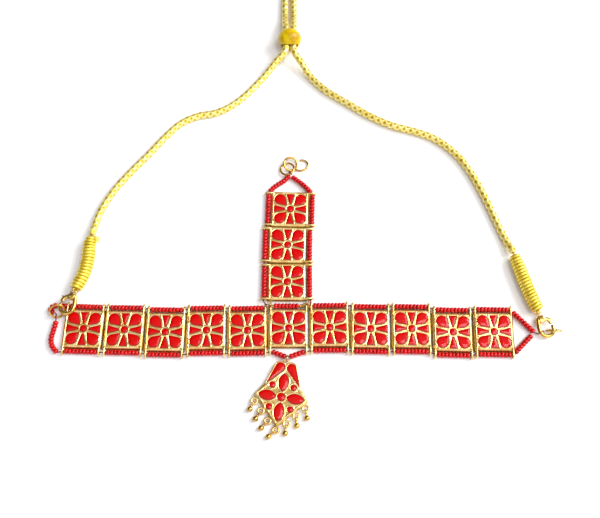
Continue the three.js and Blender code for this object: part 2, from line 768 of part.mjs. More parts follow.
// Bail between the drop's eye and the centre of the bottom string
const dropEyeTop = dropEyeAt + (dropEyeDiameter - bailWire) / 2;
const dropEyeWorld = new THREE.Vector3(0, dropEyeTop, fringeHeight).applyMatrix4(dropMatrix);
const bail = new THREE.TorusGeometry((bailDiameter - bailWire) / 2, bailWire / 2, wireSides, 12);
bail.rotateY(Math.PI / 2);
bail.translate(dropEyeWorld.x, (dropEyeWorld.y + centreApex.y) / 2, bailDiameter / 2 + 0.05);
add("drop_bail", solid(bail), gold);

// Lobster clasps: claw with head, pin and eye, and a lever on the pin
function claspBody() {
  const arcs = [];
  for (let angle = 180; angle <= 360 + tipAngle; angle += 22.44) {
    const a = THREE.MathUtils.degToRad(angle);
    arcs.push([clawRadius * Math.cos(a), clawRadius * Math.sin(a), 0]);
  }
  const back = [
    [-0.6, pivotHeight + 0.3, 0],
    [-1.9, pivotHeight - 1, 0],
    [-clawRadius * 0.93, pivotHeight * 0.4, 0],
  ];
  const claw = tube([...back, ...arcs], armDiameter, 6, 13);
  const head = new THREE.CylinderGeometry(headRadius, headRadius, headThickness, 12);
  head.rotateX(Math.PI / 2);
  head.translate(-0.1, pivotHeight + 0.3, 0);
  const slotRadius = leverHubDiameter / 2 + clearance;
  const slot = new THREE.CylinderGeometry(slotRadius, slotRadius, leverThickness + 2 * clearance, 12);
  slot.rotateX(Math.PI / 2);
  slot.translate(pivotOffset, pivotHeight, 0);
  const pin = new THREE.CylinderGeometry(pinDiameter / 2, pinDiameter / 2, headThickness, 8);
  pin.rotateX(Math.PI / 2);
  pin.translate(pivotOffset, pivotHeight, 0);
  const eyeLine = (claspEyeDiameter - claspEyeWire) / 2;
  const eye = new THREE.TorusGeometry(eyeLine, claspEyeWire / 2, wireSides, ringSides);
  eye.translate(-0.1, claspEyeHeight, 0);
  return join(claw, head).subtract(solid(slot)).add(solid(pin)).add(solid(eye));
}

function leverSolid() {
  const half = leverWidth / 2;
  const shape = new THREE.Shape();
  shape.moveTo(pivotOffset + 0.5, pivotHeight + 0.5);
  shape.quadraticCurveTo(clawRadius * 0.98, pivotHeight - 0.6, clawRadius + half * 0.85, 1.9);
  shape.lineTo(clawRadius - half * 1.1, 1.75);
  shape.quadraticCurveTo(clawRadius * 0.62, pivotHeight - 1.5, pivotOffset - 0.2, pivotHeight - 0.9);
  const barSize = { depth: leverThickness, bevelEnabled: false, curveSegments: 5 };
  const bar = new THREE.ExtrudeGeometry(shape, barSize);
  bar.translate(0, 0, -leverThickness / 2);
  const hub = new THREE.CylinderGeometry(leverHubDiameter / 2, leverHubDiameter / 2, leverThickness, 12);
  hub.rotateX(Math.PI / 2);
  hub.translate(pivotOffset, pivotHeight, 0);
  const boreRadius = pinDiameter / 2 + clearance;
  const bore = new THREE.CylinderGeometry(boreRadius, boreRadius, leverThickness * 2, 8);
  bore.rotateX(Math.PI / 2);
  bore.translate(pivotOffset, pivotHeight, 0);
  const tab = rod(new THREE.Vector3(2.3, 3.5, 0), new THREE.Vector3(4.1, 4.2, 0), 0.8, 8);
  return join(bar, hub, tab).subtract(solid(bore));
}

for (const [sideName, clasp] of [["left", claspLeft], ["right", claspRight]]) {
  const matrix = placeMatrix(clasp.place, clasp.lean);
  const flip = clasp.side < 0 ? new THREE.Matrix4().makeRotationY(Math.PI) : new THREE.Matrix4();
  matrix.multiply(flip);
  add(`clasp_body_${sideName}`, solid(moved(surface(claspBody()), matrix)), gold);
  add(`clasp_lever_${sideName}`, solid(moved(surface(leverSolid()), matrix)), gold);
}
add("clasp_ring_left", solid(ring(leftRing, ringDiameter, ringWire)), gold);
add("clasp_ring_right", solid(ring(rightRing, ringDiameter, ringWire)), gold);

// Thread wraps with the tie loop through the clasp's eye, the tie cord and its bead
for (const [sideName, clasp] of [["left", claspLeft], ["right", claspRight]]) {
  const frame = claspMatrix(clasp);
  const start = new THREE.Vector3(0, claspReach + 2.5 * clearance, 0).applyMatrix4(frame);
  const route = sideName === "left" ? routes.leftWrap : routes.rightWrap;
  const path = [new THREE.Vector3(start.x, start.y, wrapHeight), ...raised(route, wrapHeight)];
  const wrap = tube(path, wrapDiameter, wrapSides, 6);
  const inWrap = lerp(path[0], path[1], 0.15);
  const topSide = new THREE.Vector3(-0.1, claspEyeHeight + 0.7, 1.5).applyMatrix4(frame);
  const low = new THREE.Vector3(-0.1, claspEyeHeight - 0.05, 0).applyMatrix4(frame);
  const bottomSide = new THREE.Vector3(-0.1, claspEyeHeight + 0.7, -1.45).applyMatrix4(frame);
  const inWrapLow = inWrap.clone().add(new THREE.Vector3(0, 0, -1));
  const tie = tube([inWrap, topSide, low, bottomSide, inWrapLow], tieLoopWire, wireSides, 10);
  add(`wrap_${sideName}`, join(wrap, tie), thread);
  const cordRoute = raised(sideName === "left" ? routes.leftCord : routes.rightCord, cordHeight);
  add(`cord_${sideName}`, solid(tube(cordRoute, cordDiameter, cordSides, 20)), thread);
}

const bead = new THREE.SphereGeometry(sliderDiameter / 2, 14, 7);
bead.scale(1, 1, sliderFlat);
bead.rotateX(Math.PI / 2);
bead.translate(sliderPlace[0], sliderPlace[1], sliderDiameter / 2);
const bores = [-1, 1].map((side) => {
  const radius = cordDiameter / 2 + sliderPlay;
  const bore = new THREE.CylinderGeometry(radius, radius, 2 * sliderDiameter, 10);
  bore.translate(sliderPlace[0] + side * cordAside, sliderPlace[1], sliderDiameter / 2);
  return bore;
});
add("slider_bead", solid(bead).subtract(join(...bores)), amber);

export default group;
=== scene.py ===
"""Maang tikka: an enamelled head ornament that lies on a pale surface.

It is put together from the camera and the tie cords through the tiles, bead strings, rings, drop and clasps.
"""

import math

import bpy
import numpy as np
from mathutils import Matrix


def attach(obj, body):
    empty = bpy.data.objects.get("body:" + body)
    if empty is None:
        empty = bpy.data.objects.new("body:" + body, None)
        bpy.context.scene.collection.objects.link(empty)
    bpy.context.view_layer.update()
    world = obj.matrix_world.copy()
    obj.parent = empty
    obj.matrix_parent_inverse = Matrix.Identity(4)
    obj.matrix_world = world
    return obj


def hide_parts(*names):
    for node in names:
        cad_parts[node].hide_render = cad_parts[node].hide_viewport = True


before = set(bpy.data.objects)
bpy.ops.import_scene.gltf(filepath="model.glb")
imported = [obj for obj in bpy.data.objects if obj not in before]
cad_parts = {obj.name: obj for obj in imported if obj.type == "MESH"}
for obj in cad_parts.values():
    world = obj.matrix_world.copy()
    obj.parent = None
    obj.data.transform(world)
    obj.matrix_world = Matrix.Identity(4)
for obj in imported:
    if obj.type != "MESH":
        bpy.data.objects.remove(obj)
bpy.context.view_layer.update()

# Camera: a 50 mm lens on the brow side of the piece, which looks down on it at 70 degrees.
camera_data = bpy.data.cameras.new("camera")
camera_data.lens = 50
camera_data.sensor_width = 36
camera = bpy.data.objects.new("camera", camera_data)
camera.location = (0.00519, -0.0985, 0.3627)
camera.rotation_euler = (math.radians(20), 0, 0)
bpy.context.scene.collection.objects.link(camera)
bpy.context.scene.camera = camera
bpy.context.scene.view_settings.view_transform = "Standard"

# Tie cords: two lengths of braided zari, which is yellow silk wound with flat gilt wire. Each is bound to a
# clasp, and both run up through the amber bead and end bare.
MM = 0.001
CORD_DIAMETER = 3.4
CORD_RISE = CORD_DIAMETER / 2 + 0.1
CORD_SIDES = 28
CORD_STRANDS = 3
CORD_LAY = 3.3
CORD_GROOVE = 0.26
# Painted light: the pale colour is painted highlight on the strands' crowns, and the shade colour is painted shade
# in the hollows between them.
ZARI_PAINTED_HIGHLIGHT = "#F2E49C"
ZARI_YELLOW = "#E6C844"
ZARI_SHADE = "#AE8A0C"
left_cord_route = [
    (-91.35, 44, 1.3), (-91.15, 45.8, 1.3), (-90.5, 49.5, 0.2), (-89.3, 54.5, 0), (-86.6, 60.9, 0),
    (-82.1, 68.8, 0), (-75.9, 77, 0), (-67.4, 87, 0), (-60.3, 96, 0), (-52.6, 103.8, 0), (-44.6, 107.7, 0),
    (-36.6, 109.3, 0), (-29.4, 112.8, 0), (-22.9, 118, 0), (-17.5, 124, 0), (-12, 130.6, 0.3), (-7, 136.8, 2.2),
    (-2.6, 141.6, 3.9), (-1.85, 144.2, 4.1), (-1.85, 149.4, 4.1), (-1.85, 154.6, 4.1), (-2.1, 157.6, 3.6),
    (-2.5, 164.5, 0.5), (-2.5, 173, 0), (-2.3, 184, 0),
]
right_cord_route = [
    (103.55, 35, 1.3), (103, 36.7, 1.3), (101.2, 41, 0.2), (98, 49.4, 0), (94.6, 59, 0), (91, 68.2, 0),
    (86.8, 77.2, 0), (82, 84.8, 0), (76, 91.2, 0), (69.2, 95.9, 0), (62, 98.8, 0), (50.2, 102.4, 0),
    (39.2, 107.8, 0), (28.4, 115, 0), (18.2, 122, 0), (10.6, 129.6, 0.3), (6.2, 136.2, 2.2), (2.6, 141.4, 3.9),
    (1.85, 144.2, 4.1), (1.85, 149.4, 4.1), (1.85, 154.6, 4.1), (1.95, 157.6, 3.6), (2, 164.5, 0.5),
    (1.9, 173, 0), (1.8, 184, 0),
]


def travel_of(path):
    """Distance travelled along a path at each of its points."""
    return np.concatenate([[0], np.cumsum(np.linalg.norm(np.diff(path, axis=0), axis=1))])


def points_at(path, travel, places):
    """Points of a path at places along its travel."""
    return np.stack([np.interp(places, travel, path[:, k]) for k in range(3)], axis=1)


def smooth_route(points, step):
    """Centripetal Catmull-Rom curve through the points, taken again at an even step along its length."""
    points = np.asarray(points, float)
    ends = np.vstack([2 * points[0] - points[1], points, 2 * points[-1] - points[-2]])
    knots = np.concatenate([[0], np.cumsum(np.sqrt(np.linalg.norm(np.diff(ends, axis=0), axis=1)))])
    u = np.linspace(knots[1], knots[-2], 40 * len(points))
    span = np.clip(np.searchsorted(knots, u, side="right") - 1, 1, len(ends) - 3)
    u = u[:, None]
    t = [knots[span + k][:, None] for k in (-1, 0, 1, 2)]
    p = [ends[span + k] for k in (-1, 0, 1, 2)]
    first = [((t[k + 1] - u) * p[k] + (u - t[k]) * p[k + 1]) / (t[k + 1] - t[k]) for k in range(3)]
    second = [((t[k + 2] - u) * first[k] + (u - t[k]) * first[k + 1]) / (t[k + 2] - t[k]) for k in range(2)]
    fine = ((t[2] - u) * second[0] + (u - t[1]) * second[1]) / (t[2] - t[1])
    travel = travel_of(fine)
    even = np.linspace(0, travel[-1], max(round(travel[-1] / step), 2) + 1)
    return points_at(fine, travel, even), even


def carried_frames(path, ring=False):
    """Side and lift vectors along a path; the side vector is carried from point to point without twist."""
    tangent = np.roll(path, -1, axis=0) - np.roll(path, 1, axis=0) if ring else np.gradient(path, axis=0)
    tangent /= np.linalg.norm(tangent, axis=1, keepdims=True)
    start = np.cross((0.0, 0.0, 1.0), tangent[0])
    if np.linalg.norm(start) < 0.05:
        start = np.cross((0.0, 1.0, 0.0), tangent[0])
    side = np.empty_like(path)
    side[0] = start / np.linalg.norm(start)
    for i in range(1, len(path)):
        carried = side[i - 1] - tangent[i] * side[i - 1].dot(tangent[i])
        side[i] = carried / np.linalg.norm(carried)
    return side, np.cross(tangent, side)


def full_turn(count):
    """Angles at even steps once round, in radians."""
    return np.linspace(0, 2 * np.pi, count, endpoint=False)


def sweep(path, radius, sides, ring=False, flat=1.0):
    """Carries a round or flattened section along a path: point = path + radius (cos a side + flat sin a lift)."""
    side, lift = carried_frames(path, ring)
    angle = full_turn(sides)[None, :, None]
    radius = np.broadcast_to(radius, (len(path), sides))[:, :, None]
    return path[:, None] + radius * (np.cos(angle) * side[:, None] + flat * np.sin(angle) * lift[:, None])


def shells(grids, ring=False):
    """Closed skins over a stack of grids whose columns run round; rows run round too in a ring, and otherwise
    both ends close on their middle point."""
    count, rows, columns = grids.shape[:3]
    index = np.arange(count * rows * columns).reshape(count, rows, columns)
    here = index if ring else index[:, :-1]
    there = np.roll(index, -1, axis=1) if ring else index[:, 1:]
    quads = np.stack([here, np.roll(here, -1, 2), np.roll(there, -1, 2), there], axis=-1).reshape(-1, 4)
    points = grids.reshape(-1, 3)
    if ring:
        return points, quads.tolist()
    middle = len(points) + np.arange(2 * count).reshape(2, count, 1)
    points = np.vstack([points, grids[:, 0].mean(axis=1), grids[:, -1].mean(axis=1)])
    first, last = index[:, 0], index[:, -1]
    front = np.stack([np.broadcast_to(middle[0], first.shape), np.roll(first, -1, 1), first], axis=-1)
    back = np.stack([np.broadcast_to(middle[1], last.shape), last, np.roll(last, -1, 1)], axis=-1)
    return points, quads.tolist() + front.reshape(-1, 3).tolist() + back.reshape(-1, 3).tolist()


def tube(path, radius, sides, ring=False, flat=1.0):
    """Closed skin of a section that is swept along a path."""
    return shells(sweep(path, radius, sides, ring, flat)[None], ring)


def make_piece(name, parts, material, node, slot, body="tikka", crease=50, **values):
    """Joins skins into one mesh object in metres, which stands for a node; values hold a number per point."""
    points, faces, start = [], [], 0
    for part_points, part_faces in parts:
        points.append(part_points)
        faces += [[corner + start for corner in face] for face in part_faces]
        start += len(part_points)
    mesh = bpy.data.meshes.new(name)
    mesh.from_pydata((np.concatenate(points) * MM).tolist(), [], faces)
    mesh.polygons.foreach_set("use_smooth", np.ones(len(faces), bool))
    mesh.set_sharp_from_angle(angle=math.radians(crease))
    for key, numbers in values.items():
        mesh.attributes.new(key, "FLOAT", "POINT").data.foreach_set("value", numbers.astype(np.float32))
    mesh.materials.append(material)
    piece = bpy.data.objects.new(name, mesh)
    bpy.context.scene.collection.objects.link(piece)
    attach(piece, body)
    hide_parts(node)
    return piece


def linear(colour):
    """Linear red, green, blue and alpha of an sRGB hex colour."""
    part = np.array([int(colour[i : i + 2], 16) for i in (1, 3, 5)]) / 255
    return (*np.where(part <= 0.04045, part / 12.92, ((part + 0.055) / 1.055) ** 2.4).tolist(), 1.0)


def set_inputs(tree, node, inputs):
    """Sets a node's inputs, each to a value or to the socket that is linked to it."""
    for key, value in inputs.items():
        if isinstance(value, bpy.types.NodeSocket):
            tree.links.new(value, node.inputs[key])
        else:
            node.inputs[key].default_value = value


def add_node(tree, kind, inputs, stops=(), **settings):
    """Adds a node with its settings and inputs; stops are a ramp's, each a place and a colour."""
    node = tree.nodes.new(kind)
    for i, (position, colour) in enumerate(stops):
        stop = node.color_ramp.elements[i]
        stop.position, stop.color = position, colour
    for key, value in settings.items():
        setattr(node, key, value)
    set_inputs(tree, node, inputs)
    return node


def start_material(name):
    """New material with its node tree, main shader and object coordinates."""
    material = bpy.data.materials.new(name)
    material.use_nodes = True
    tree = material.node_tree
    place = add_node(tree, "ShaderNodeTexCoord", {}).outputs["Object"]
    return material, tree, tree.nodes["Principled BSDF"], place


def zari_material(name, groove_shade_colour, body_colour, crown_highlight_colour):
    """Zari thread: flat gilt wire wound on yellow silk. The crowns of the strands are painted pale as highlight,
    the hollows between them painted brown as shade, over random patches, and fine filaments cross the strands."""
    material, tree, shader, place = start_material(name)
    groove = add_node(tree, "ShaderNodeAttribute", {}, attribute_name="groove").outputs["Fac"]
    filaments = add_node(tree, "ShaderNodeTexNoise", {"Vector": place, "Scale": 2600, "Detail": 2}).outputs["Fac"]
    patches = add_node(tree, "ShaderNodeTexNoise", {"Vector": place, "Scale": 420, "Detail": 2}).outputs["Fac"]
    uneven = add_node(tree, "ShaderNodeMath", {0: patches, 1: 0.8, 2: groove}, operation="MULTIPLY_ADD").outputs[0]
    spread = add_node(tree, "ShaderNodeMath", {0: filaments, 1: 0.3, 2: uneven}, operation="MULTIPLY_ADD")
    share = add_node(tree, "ShaderNodeMapRange", {"Value": spread.outputs[0], "From Max": 1.35}).outputs["Result"]
    # The ramp runs from painted highlight on the crowns through the thread's yellow to painted shade in the
    # grooves, shifted by random patches.
    stops = (0.36, linear(crown_highlight_colour)), (1.0, linear(groove_shade_colour))
    ramp = add_node(tree, "ShaderNodeValToRGB", {"Fac": share}, stops)
    ramp.color_ramp.elements.new(0.64).color = linear(body_colour)
    rough = add_node(tree, "ShaderNodeMapRange", {"Value": filaments, "To Min": 0.26, "To Max": 0.5})
    bump = add_node(tree, "ShaderNodeBump", {"Height": filaments, "Strength": 0.5, "Distance": 0.00012})
    surface = {"Base Color": ramp.outputs["Color"], "Metallic": 0.55, "Roughness": rough.outputs["Result"]}
    set_inputs(tree, shader, {**surface, "Normal": bump.outputs["Normal"]})
    return material


def braided_skin(path, travel):
    """Braid: the relief is the higher of two cosine waves that run round the cord in opposite directions.
    Returns the skin and how deep each point lies in a groove."""
    angle = CORD_STRANDS * full_turn(CORD_SIDES)[None]
    turn = 2 * np.pi * travel[:, None] / CORD_LAY
    relief = np.maximum(np.cos(angle + turn), np.cos(angle - turn))
    groove = ((1 - relief) / 2) ** 1.4
    end = np.minimum(travel, travel[-1] - travel)[:, None]
    closing = np.sqrt(np.clip(end / 0.9, 0.12, 1))
    skin = tube(path, (CORD_DIAMETER / 2 - CORD_GROOVE * groove) * closing, CORD_SIDES)
    return skin, np.append(groove.ravel(), [0.5, 0.5])


zari_cord = zari_material("zari_cord", ZARI_SHADE, ZARI_YELLOW, ZARI_PAINTED_HIGHLIGHT)
cords = {}
for hand, route in (("left", left_cord_route), ("right", right_cord_route)):
    path, travel = smooth_route(np.array(route) + (0, 0, CORD_RISE), 0.33)
    skin, groove = braided_skin(path, travel)
    piece = make_piece(f"braided_cord_{hand}", [skin], zari_cord, f"cord_{hand}", "zari_thread", groove=groove)
    cords[hand] = (piece, route, travel[-1])

# Thread wraps: yellow zari thread wound in close turns over each cord's end, with a loop of it tied through
# the clasp's eye. The left one's loose end stands out as a short flat tuft of three strands.
CLEARANCE = 0.3
WRAP_RADIUS = 3.1
WRAP_RISE = WRAP_RADIUS + 0.1
WRAP_PITCH = 1.52
WRAP_TURN = 0.5
WRAP_SIDES = 36
TIE_WIRE = 0.64
TUFT_STEP = 0.75
# Painted light: the pale colour is painted highlight on the crowns of the turns, and the shade colour is painted
# shade between them.
WRAP_SHADE = "#8A6A00"
WRAP_YELLOW = "#E4BE10"
WRAP_PAINTED_HIGHLIGHT = "#F8E464"
CLASP_REACH = 9.15
CLASP_EYE = 7.65
clasp_places = {"left": ((-99.5, 9.3, 3.8), -17.5, -1), "right": ((115.4, -0.7, 2.05), 20, 1)}
wrap_routes = {
    "left": [(-94.4, 22.6, 0), (-92.9, 27.4, 0), (-92.1, 33, 0), (-92, 38.6, 0), (-91.4, 43.6, 0)],
    "right": [(110.5, 12.1, 0), (108.6, 17.6, 0), (106.6, 24.2, 0), (104.8, 30.5, 0), (103.7, 34.6, 0)],
}
tuft_route = [(-90.6, 41.4, 4.6, 1), (-89.3, 41.1, 4.9, 1.1), (-88.1, 40.7, 4.6, 1.2), (-87.2, 40.1, 3.9, 1.3)]


def placed(points, x, y, turn):
    """Turns points by an angle in degrees about the upright axis, then moves them along the surface."""
    points = np.asarray(points, float)
    c, s = math.cos(math.radians(turn)), math.sin(math.radians(turn))
    across, along = points[..., 0], points[..., 1]
    return np.stack([x + c * across - s * along, y + s * across + c * along, points[..., 2]], axis=-1)


def at_clasp(points, hand):
    """Points of a clasp's own frame, eye toward +Y and lever toward +X, where that clasp lies; the left clasp
    is turned over about its length."""
    (x, y, z), lean, over = clasp_places[hand]
    return placed(np.asarray(points, float) * (over, 1, over), x, y, lean) + (0, 0, z)


def wound_skin(path, travel):
    """Winding: phase = travel / pitch - angle / full turn, and the radius follows a half circle over each turn of
    thread. It draws in by a fifth at the clasp and by two fifths at the cord. Returns the skin and how deep each
    point lies between turns."""
    angle = np.linspace(0, 1, WRAP_SIDES, endpoint=False)[None]
    phase = (travel[:, None] / WRAP_PITCH - angle) % 1
    turn = np.sqrt(np.clip(1 - (2 * phase - 1) ** 2, 0, 1))
    strands = 0.04 * np.cos(8 * np.pi * phase)
    from_end = np.minimum(travel, travel[-1] - travel)[:, None]
    to_cord = travel[-1] - travel[:, None]
    drawn = 1 - 0.2 * np.exp(-travel[:, None] / 1.8) - 0.4 * np.exp(-to_cord / 2.6)
    closing = np.sqrt(np.clip(from_end / 0.7, 0.15, 1))
    radius = ((WRAP_RADIUS - WRAP_TURN) * drawn + WRAP_TURN * turn + strands) * closing
    skin = tube(path, radius, WRAP_SIDES)
    return skin, np.append((1 - turn).ravel() * 1.1, [0.8, 0.8])


zari_wrap = zari_material("zari_winding", WRAP_SHADE, WRAP_YELLOW, WRAP_PAINTED_HIGHLIGHT)
for hand in ("left", "right"):
    start = at_clasp((0, CLASP_REACH - CLEARANCE, 0), hand) * (1, 1, 0)
    points = np.vstack([start, wrap_routes[hand]]) + (0, 0, WRAP_RISE)
    path, travel = smooth_route(points, 0.17)
    wound, groove = wound_skin(path, travel)
    inside = points[0] + 0.15 * (points[1] - points[0])
    through_eye = [(-0.1, CLASP_EYE + 0.7, 1.5), (-0.1, CLASP_EYE - 0.05, 0), (-0.1, CLASP_EYE + 0.7, -1.45)]
    eye = at_clasp(through_eye, hand)
    tie_path, _ = smooth_route(np.vstack([inside, eye if hand == "right" else eye[::-1], inside - (0, 0, 1)]), 0.3)
    parts, grooves = [wound], [groove]
    bends = [tie_path]
    if hand == "left":
        for strand in range(3):
            tuft = [(x, y + spread * strand * TUFT_STEP, z) for x, y, z, spread in tuft_route]
            bends.append(smooth_route(tuft, 0.3)[0])
    for bend in bends:
        parts.append(tube(bend, TIE_WIRE / 2, 10))
        grooves.append(np.full(len(parts[-1][0]), 0.2))
    name = f"thread_wrap_{hand}"
    make_piece(name, parts, zari_wrap, f"wrap_{hand}", "zari_thread", groove=np.concatenate(grooves))

# Sliding bead: a turned amber-coloured bead with one wide hole, through which both cords pass side by side.
SLIDER_RADIUS = 5.8
SLIDER_LONG = 0.92
SLIDER_HOLE = (4.3, 2.5)
SLIDER_PLACE = (0, 149.4)
AMBER_DEEP = "#B08A00"
AMBER_BRIGHT = "#DEBE00"


def bead_skin():
    """Sphere that ends at an oval hole: latitude runs to the arc cosine of hole over radius at each angle, and
    the rows then go back through the hole."""
    angle = full_turn(64)[None]
    hole = 1 / np.sqrt((np.cos(angle) / SLIDER_HOLE[0]) ** 2 + (np.sin(angle) / SLIDER_HOLE[1]) ** 2)
    latitude = np.arccos(hole / SLIDER_RADIUS) * np.linspace(-1, 1, 40)[:, None]
    wall = np.linspace(1, -1, 10)[1:-1, None] * latitude[-1:]
    reach = np.vstack([SLIDER_RADIUS * np.cos(latitude), np.broadcast_to(hole, wall.shape)])
    rise = np.vstack([SLIDER_LONG * SLIDER_RADIUS * np.sin(latitude), SLIDER_LONG * SLIDER_RADIUS * np.sin(wall)])
    across = SLIDER_PLACE[0] + reach * np.cos(angle)
    grid = np.stack([across, SLIDER_PLACE[1] + rise, SLIDER_RADIUS - reach * np.sin(angle)], axis=-1)
    return shells(grid[None], ring=True)


# Pressed amber-coloured resin, polished: clear deep patches and cloudy bright ones, with a wet gloss.
amber, tree, shader, place = start_material("pressed_amber")
cloud = add_node(tree, "ShaderNodeTexNoise", {"Vector": place, "Scale": 190, "Detail": 3, "Distortion": 0.8})
stops = (0.36, linear(AMBER_DEEP)), (0.62, linear(AMBER_BRIGHT))
ramp = add_node(tree, "ShaderNodeValToRGB", {"Fac": cloud.outputs["Fac"]}, stops)
set_inputs(tree, shader, {"Base Color": ramp.outputs["Color"], "Roughness": 0.26, "Specular IOR Level": 0.26})
slider = make_piece("amber_slider", [bead_skin()], amber, "slider_bead", "amber_bead")
for hand, (piece, route, length) in cords.items():
    points = [tuple(p) for p in ((np.array(route) + (0, 0, CORD_RISE)) * MM).tolist()]

# Tiles: eleven on the brow band and three on the parting strip, stamped from gilt brass with a pillowed border.
# Their cells are parted by half-round wires and filled with red enamel, and each has four soldered corner loops.
TILE_SIDE = 17.7
FACE_SIDE = 17.94
TILE_PITCH = 18.35
TILE_EDGE = 1.4
TILE_GROUND = 2.14
PILLOW_TOP = 2.36
PILLOW_SLOPE = 1.0
PILLOW_WIDTH = 1.3
WIRE_WIDTH = 0.6
# Painted shade: an olive band along the tile's rim and down its walls, where the gap between tiles lies in shade.
PAINTED_SHADE_RIM = 0.45
EDGE_PAINTED_SHADE = "#A4862A"
GILDING_METALLIC = 0.78
WIRE_RISE = 0.26
PETAL_TIP = (1.95, 1.95)
PETAL_HEART = (4.85, 4.85)
PETAL_RADII = (0.3, 2.65)
WEDGE_ENDS = (2.25, 7.6)
DOT_RADIUS = 1.65
ENAMEL_DOME = 0.3
TILE_POINTS = 104
BEAD_DIAMETER = 2.5
STRING_HEIGHT = BEAD_DIAMETER / 2 + 0.1
STRING_OFFSET = TILE_SIDE / 2 + CLEARANCE + BEAD_DIAMETER / 2
LOOP_ALONG = 8.05
LOOP_WIRE = 0.66
LOOP_THICK = 0.92
STRIP_FIRST = 21.83
STRIP_PITCH = 18.0
ENAMEL_RED = "#C20000"
ENAMEL_DEEP = "#820000"
GOLD_LEAF = "#F4D998"
GOLD_WORN = "#DDAE60"
band_rows = [
    (-0.017, -2), (-0.045, -1), (-0.1, -0.9), (-0.056, 1), (-0.062, 1.2), (0, 0),
    (0.017, 0.4), (-0.017, -1.2), (-0.017, -1), (-0.107, -1.5), (-0.096, -1.2),
]
strip_rows = [(-0.045, 0), (-0.039, -1.2), (0.028, -1.4)]
MIDDLE = 5
band_places = [((i - MIDDLE) * TILE_PITCH, rise * TILE_SIDE, turn) for i, (rise, turn) in enumerate(band_rows)]
strip_places = [
    (shift * TILE_SIDE, STRIP_FIRST + i * STRIP_PITCH, 90 + turn) for i, (shift, turn) in enumerate(strip_rows)
]


def teardrop(x, y, tip, heart, small, large):
    """Signed distance to the hull of a small circle at the tip and a large one at the heart, negative inside."""
    reach = math.dist(tip, heart)
    ux, uy = (heart[0] - tip[0]) / reach, (heart[1] - tip[1]) / reach
    along = (x - tip[0]) * ux + (y - tip[1]) * uy
    aside = np.abs((x - tip[0]) * uy - (y - tip[1]) * ux)
    lean = (small - large) / reach
    steep = math.sqrt(1 - lean**2)
    level = steep * along - lean * aside
    flank = steep * aside + lean * along - small
    near = np.where(level < 0, np.hypot(aside, along) - small, flank)
    return np.where(level > steep * reach, np.hypot(aside, along - reach) - large, near)


def flower_depth(x, y):
    """How far a point of the tile's face lies inside the nearest enamel cell: four teardrops on the diagonals,
    four wedges between them and a dot."""
    ax, ay = np.abs(x), np.abs(y)
    petal = teardrop(ax, ay, PETAL_TIP, PETAL_HEART, *PETAL_RADII)
    along, aside = np.maximum(ax, ay), np.minimum(ax, ay)
    flank = 0.96 * (aside - 0.5 - 0.28 * (along - 2.4))
    wedge = np.maximum.reduce([WEDGE_ENDS[0] - along, along - WEDGE_ENDS[1], flank, WIRE_WIDTH - petal])
    return -np.minimum.reduce([petal, wedge, np.hypot(x, y) - DOT_RADIUS])


def relief_height(inside, ground):
    """Domed enamel in the cells, a half-round wire along their edges and flat ground beyond the wire."""
    dome = ground + 0.04 + ENAMEL_DOME * (1 - (1 - np.clip(inside / 1.9, 0, 1)) ** 2)
    wire = WIRE_RISE * np.sqrt(np.clip(1 - ((2 * inside + WIRE_WIDTH) / WIRE_WIDTH) ** 2, 0, 1))
    return np.where(inside > 0, dome, ground + wire)


def tile_skin():
    """Face over a square grid with a wall down to a flat back. The border rises from the edge as 1 - (1 -
    share)^1.4 and falls to the ground. Returns the skin and how far each point lies inside a cell, which
    is under -1 where olive shade is painted at the edge and down the wall."""
    half = FACE_SIDE / 2
    line = np.linspace(-half, half, TILE_POINTS)
    x, y = np.meshgrid(line, line, indexing="ij")
    inside = flower_depth(x, y)
    rim = half - np.maximum(np.abs(x), np.abs(y))
    slope = TILE_EDGE + (PILLOW_TOP - TILE_EDGE) * (1 - (1 - np.clip(rim / PILLOW_SLOPE, 0, 1)) ** 1.4)
    fall = np.clip((rim - PILLOW_SLOPE) / (PILLOW_WIDTH - PILLOW_SLOPE), 0, 1)
    border = slope - (PILLOW_TOP - TILE_GROUND + 0.05) * fall**2
    height = np.where(rim < PILLOW_WIDTH, border, relief_height(inside, TILE_GROUND))
    inside = np.where(rim < PAINTED_SHADE_RIM, -1 - 2 * (1 - rim / PAINTED_SHADE_RIM), inside)
    top = np.stack([x, y, height], axis=-1).reshape(-1, 3)
    index = np.arange(TILE_POINTS**2).reshape(TILE_POINTS, TILE_POINTS)
    quads = np.stack([index[:-1, :-1], index[1:, :-1], index[1:, 1:], index[:-1, 1:]], axis=-1).reshape(-1, 4)
    edge = np.concatenate([index[:-1, 0], index[-1, :-1], index[:0:-1, -1], index[0, :0:-1]])
    foot = len(top) + np.arange(len(edge))
    walls = np.stack([foot, np.roll(foot, -1), np.roll(edge, -1), edge], axis=-1)
    points = np.vstack([top, top[edge] * (1, 1, 0)])
    depth = np.append(inside.ravel(), np.full(len(edge), -3.0))
    return (points, quads.tolist() + walls.tolist() + [foot[::-1].tolist()]), depth


def corner_loop(along, side):
    """Round wire that leaves the border, passes over the thread and comes back under it to the tile's side."""
    edge, outer = TILE_SIDE / 2, STRING_OFFSET + 1.5
    route = [(edge - 1.3, 0.72), (edge, 0.98), (STRING_OFFSET, 1), (outer - 0.35, 0.66), (outer, 0)]
    route += [(outer - 0.35, -0.66), (STRING_OFFSET, -1), (edge - 0.3, -1)]
    path, _ = smooth_route([(along, side * aside, STRING_HEIGHT + rise) for aside, rise in route], 0.35)
    return tube(path, LOOP_THICK / 2, 10)


def gold_colour(tree, place, worn, leaf):
    """Gilding: warm yellow that wears to a redder brass in cloudy patches a few millimetres wide."""
    wear = add_node(tree, "ShaderNodeTexNoise", {"Vector": place, "Scale": 260, "Detail": 4}).outputs["Fac"]
    stops = (0.35, linear(worn)), (0.6, linear(leaf))
    return add_node(tree, "ShaderNodeValToRGB", {"Fac": wear}, stops).outputs["Color"], wear
